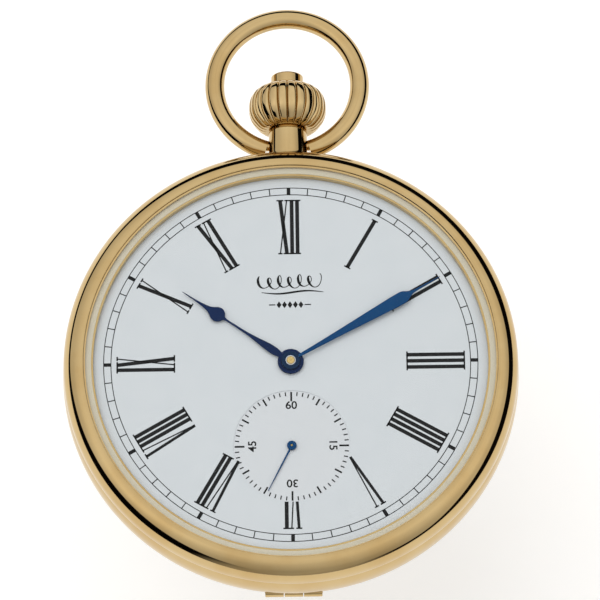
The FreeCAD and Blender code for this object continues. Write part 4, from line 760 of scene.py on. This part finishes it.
# The ornament at twelve: a scroll of loops drawn by a point that circles as it runs to the right, a
# curved line that swells in its middle, and a row of diamonds between two short bars.
LOOPS, SCROLL_HALF, SCROLL_HIGH, DATE_HIGH, DATE_BAR = 6, 3.3, 9.25, 6.7, 0.12
t = np.linspace(0, 1, 420)
swing = 2 * np.pi * LOOPS * t
swell = 0.55 + 0.45 * np.abs(np.cos(np.pi * (t * 3 + 0.1)))
scroll = np.stack([SCROLL_HALF * (2 * t - 1) - 0.42 * np.sin(swing),
                   SCROLL_HIGH + 0.80 * swell * np.cos(swing) + 0.25 * t], 1)
ribbon("scroll_ornament", scroll, 0.09 + 0.20 * np.clip(np.sin(swing), 0, 1) ** 1.5, dial_top,
       ink_top, **ink)
s = np.linspace(-1, 1, 80)
ribbon("scroll_underline", np.stack([3.4 * s + 0.3, 8.15 + 0.16 * np.sin(s * 3.2)], 1),
       0.06 + 0.16 * (1 - s ** 2), dial_top, dial_top + INK_HIGH * 0.8, **ink)
diamond = np.array([(0, -0.40), (0.27, 0), (0, 0.40), (-0.27, 0)])
marks = [diamond + (x, DATE_HIGH) for x in (-1.2, -0.6, 0, 0.6, 1.2)]
for a, b in ((-2.3, -1.6), (1.6, 2.3)):
    low, high = DATE_HIGH - DATE_BAR / 2, DATE_HIGH + DATE_BAR / 2
    marks.append([(a, low), (b, low), (b, high), (a, high)])
bars("date_ornament", marks, dial_top, ink_top, **ink)

# ---------------------------------------------------------------- hands
hour_level, minute_level = span("hour_hand")[0][2], span("minute_hand")[0][2]
second_level = span("seconds_hand")[0][2]
HOUR_TURN, MINUTE_TURN, SECOND_TURN = 305, 60, 207
HAND_THICK, SECONDS_THICK, HUB_HIGH = 0.15, 0.12, 0.2
hour_line = [(1.1, 0.22), (1.6, 0.36), (2.4, 0.46), (3.2, 0.42), (4.5, 0.26), (5.8, 0.15),
             (7.4, 0.12), (8.6, 0.14), (8.85, 0.22), (9.02, 0.50), (9.3, 0.75), (9.7, 0.85),
             (10.1, 0.76), (10.45, 0.52), (10.8, 0.34), (11.5, 0.20), (12.6, 0.095), (13.6, 0.06),
             (14.35, 0.02)]
minute_line = [(0.85, 0.17), (3.0, 0.23), (7.0, 0.40), (11.0, 0.60), (14.0, 0.71), (14.5, 0.66),
               (14.95, 0.42), (15.4, 0.22), (16.4, 0.11), (17.8, 0.07), (19.0, 0.02)]
blade("hour_blade", hour_line, HAND_THICK, hour_level, (0, 0), HOUR_TURN, "hour", BLUE_HOUR,
      covers=["hour_hand"], finish="blued_steel")
blade("minute_blade", minute_line, HAND_THICK, minute_level, (0, 0), MINUTE_TURN, "centre",
      BLUE_MINUTE, covers=["minute_hand"], finish="blued_steel")
seconds_line = [(0, 0.11), (1.0, 0.09), (3.0, 0.075), (5.75, 0.035)]
blade("seconds_blade", seconds_line, SECONDS_THICK, second_level, seconds_place, SECOND_TURN, "fourth",
      BLUE_MINUTE, covers=["seconds_hand"], finish="blued_steel")
for label, inner, outer, level, sink, place, body, material in (
        ("hour_hub", 0.72, 1.42, hour_level, 0.02, (0, 0), "hour", BLUE_HOUR),
        ("minute_hub", 0.46, 1.03, minute_level, 0.02, (0, 0), "centre", BLUE_HUB),
        ("seconds_hub", 0.02, 0.52, second_level, 0.0, seconds_place, "fourth", BLUE_MINUTE)):
    low, high = level - sink, level + HUB_HIGH
    collar = rounded([(inner, low), (outer, low), (outer, high, 0.07), (inner, high, 0.07)])
    turned(label, collar, body, material, centre=(*place, 0), steps=96, finish="blued_steel")
CAP_FOOT, CAP_TOP = 8.6, 8.895
turned("centre_cap", [(0, CAP_FOOT), (0.45, CAP_FOOT), (0.45, 8.84), (0.38, 8.89), (0, CAP_TOP)],
       "centre", turned_metal("cap_brass", (0, 0, 0), (0.42, 0.26, 0.07), 0.3), steps=64)

# ---------------------------------------------------------------- movement finishes
GILT, BALANCE_GOLD = (0.74, 0.53, 0.22), (0.78, 0.56, 0.25)
SNAILED_STEEL = (0.60, 0.60, 0.61)
finishes = {
    "main_plate": pearled_nickel("pearled_plate"),
    "movement_ring": turned_metal("ring_nickel", (0, 0, 0), NICKEL, 0.2, 2.0),
    "barrel_bridge": striped_nickel("barrel_bridge_stripes", 0.7),
    "train_bridge": striped_nickel("train_bridge_stripes", 0.7),
    "balance_cock": striped_nickel("cock_stripes", -0.4),
    "pallet_bridge": striped_nickel("pallet_stripes", 0.2),
    "dial": ENAMEL, "crystal": CRYSTAL, "bridge_screws": SCREW_BLUE,
    "hour_hand": BLUE_HOUR, "minute_hand": BLUE_MINUTE, "seconds_hand": BLUE_MINUTE,
}
for nodes, material in (
        (("case_band", "bezel", "back_cover", "back_hinge_pin", "pendant", "crown", "push_button",
          "bow"), GOLD),
        (("hairspring", "mainspring"), SPRING_BLUE),
        (("jewels", "balance_jewel", "pallet_stones"), RUBY)):
    finishes.update(dict.fromkeys(nodes, material))
for node in ("centre_wheel", "third_wheel", "fourth_wheel", "minute_wheel", "hour_wheel", "barrel",
             "barrel_cover", "setting_wheel"):
    finishes[node] = turned_metal(node + "_gilt", middle(node), GILT, 0.2, 3.0)
finishes["balance_wheel"] = turned_metal("balance_gold", middle("balance_wheel"), BALANCE_GOLD,
                                         0.12, 2.0)
for node in ("ratchet_wheel", "crown_wheel"):
    finishes[node] = turned_metal(node + "_snailed", middle(node), SNAILED_STEEL, 0.16, 1.6,
                                  rays=90.0)
for node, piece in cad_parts.items():
    piece.data.materials.clear()
    piece.data.materials.append(finishes.get(node, STEEL))

# ---------------------------------------------------------------- floor, light and camera
# The floor lies low enough for the back cover to open all the way above it, in metres.
FLOOR_DROP, FLOOR_RADIUS, FLOOR_SIDES = 0.052, 0.7, 96
floor = bpy.data.meshes.new("floor")
a = np.linspace(0, 2 * np.pi, FLOOR_SIDES, endpoint=False)
sheet = np.stack([FLOOR_RADIUS * np.cos(a), FLOOR_RADIUS * np.sin(a), 0 * a - FLOOR_DROP], 1)
floor.from_pydata(sheet.tolist(), [], [list(range(FLOOR_SIDES))])
floor.materials.append(FLOOR)
floor_piece = bpy.data.objects.new("floor", floor)
bpy.context.scene.collection.objects.link(floor_piece)

# The studio: a bright surround with a dark band low all round, which stands higher on three sides and
# draws the dark lines on the gold. Rays from the camera see plain white.
world = bpy.data.worlds.new("studio")
bpy.context.scene.world = world
sky = Recipe("studio", world)
look = sky.node("ShaderNodeTexCoord", out="Generated")
east, north, up = sky.axes(look)
lower_left = (east * -0.82 + north * -0.57).step(0.55, 0.95)
right_side = (east * 0.97 + north * 0.24).step(0.55, 0.97)
far_side = (north + east * 0.25).step(0.6, 1.0)
band_top = 0.10 + lower_left * 0.36 + right_side * 0.30 + far_side * 0.32
above_band = (up - band_top).step(0.0, 0.035)
dark = up.step(-0.12, -0.05) * (1.0 - above_band) * north.step(-0.97, -0.8)
soft = sky.noise(look, 1.6, 1.0)
bright = 0.72 + 0.36 * up.step(0.2, 0.95) + (soft - 0.5) * 0.5
near_side = 1.0 - (north * -1.0).step(0.15, 0.85) * 0.34
tone = bright * (1.0 - dark * 0.995) * near_side
glow = sky.node("ShaderNodeBackground", sockets={"Color": (1.0, 0.99, 0.97, 1), "Strength": tone})
plain = sky.node("ShaderNodeBackground", sockets={"Color": (1, 1, 1, 1), "Strength": 1.0})
seen = sky.node("ShaderNodeLightPath", out="Is Camera Ray")
both = sky.node("ShaderNodeMixShader", sockets={0: seen, 1: glow, 2: plain})
sky.node("ShaderNodeOutputWorld", sockets={"Surface": both})


def lamp(name, place, aim, power, width, height):
    """A soft rectangular lamp at a place, facing its aim, that polished pieces don't mirror."""
    light = bpy.data.lights.new(name, "AREA")
    light.energy, light.shape, light.size, light.size_y = power, "RECTANGLE", width, height
    holder = bpy.data.objects.new(name, light)
    turn = (Vector(aim) - Vector(place)).to_track_quat("-Z", "Y")
    holder.matrix_world = Matrix.Translation(Vector(place)) @ turn.to_matrix().to_4x4()
    holder.visible_glossy = False
    bpy.context.scene.collection.objects.link(holder)


lamp("overhead_soft", (-0.15, 0.1, 0.75), (0, 0, 0), 1.6, 0.5, 0.5)

# The camera stands AWAY metres from the aim, which is moved a little across and up its own view.
TILT, ROLL, LENS, AWAY = math.radians(70), math.radians(0.8), 300.0, 0.5525
ACROSS, UPWARDS = 0.00097, 0.00955
back = Vector((0, -math.cos(TILT), math.sin(TILT)))
turn = (-back).to_track_quat("-Z", "Y").to_matrix() @ Matrix.Rotation(-ROLL, 3, "Z")
right, upward = turn @ Vector((1, 0, 0)), turn @ Vector((0, 1, 0))
aim = right * ACROSS + upward * UPWARDS
camera = bpy.data.cameras.new("camera")
camera.lens, camera.sensor_width, camera.clip_start = LENS, 36.0, 0.01
eye = bpy.data.objects.new("camera", camera)
eye.matrix_world = Matrix.Translation(aim + back * AWAY) @ turn.to_4x4()
bpy.context.scene.collection.objects.link(eye)
bpy.context.scene.camera = eye
bpy.context.scene.view_settings.view_transform = "Standard"
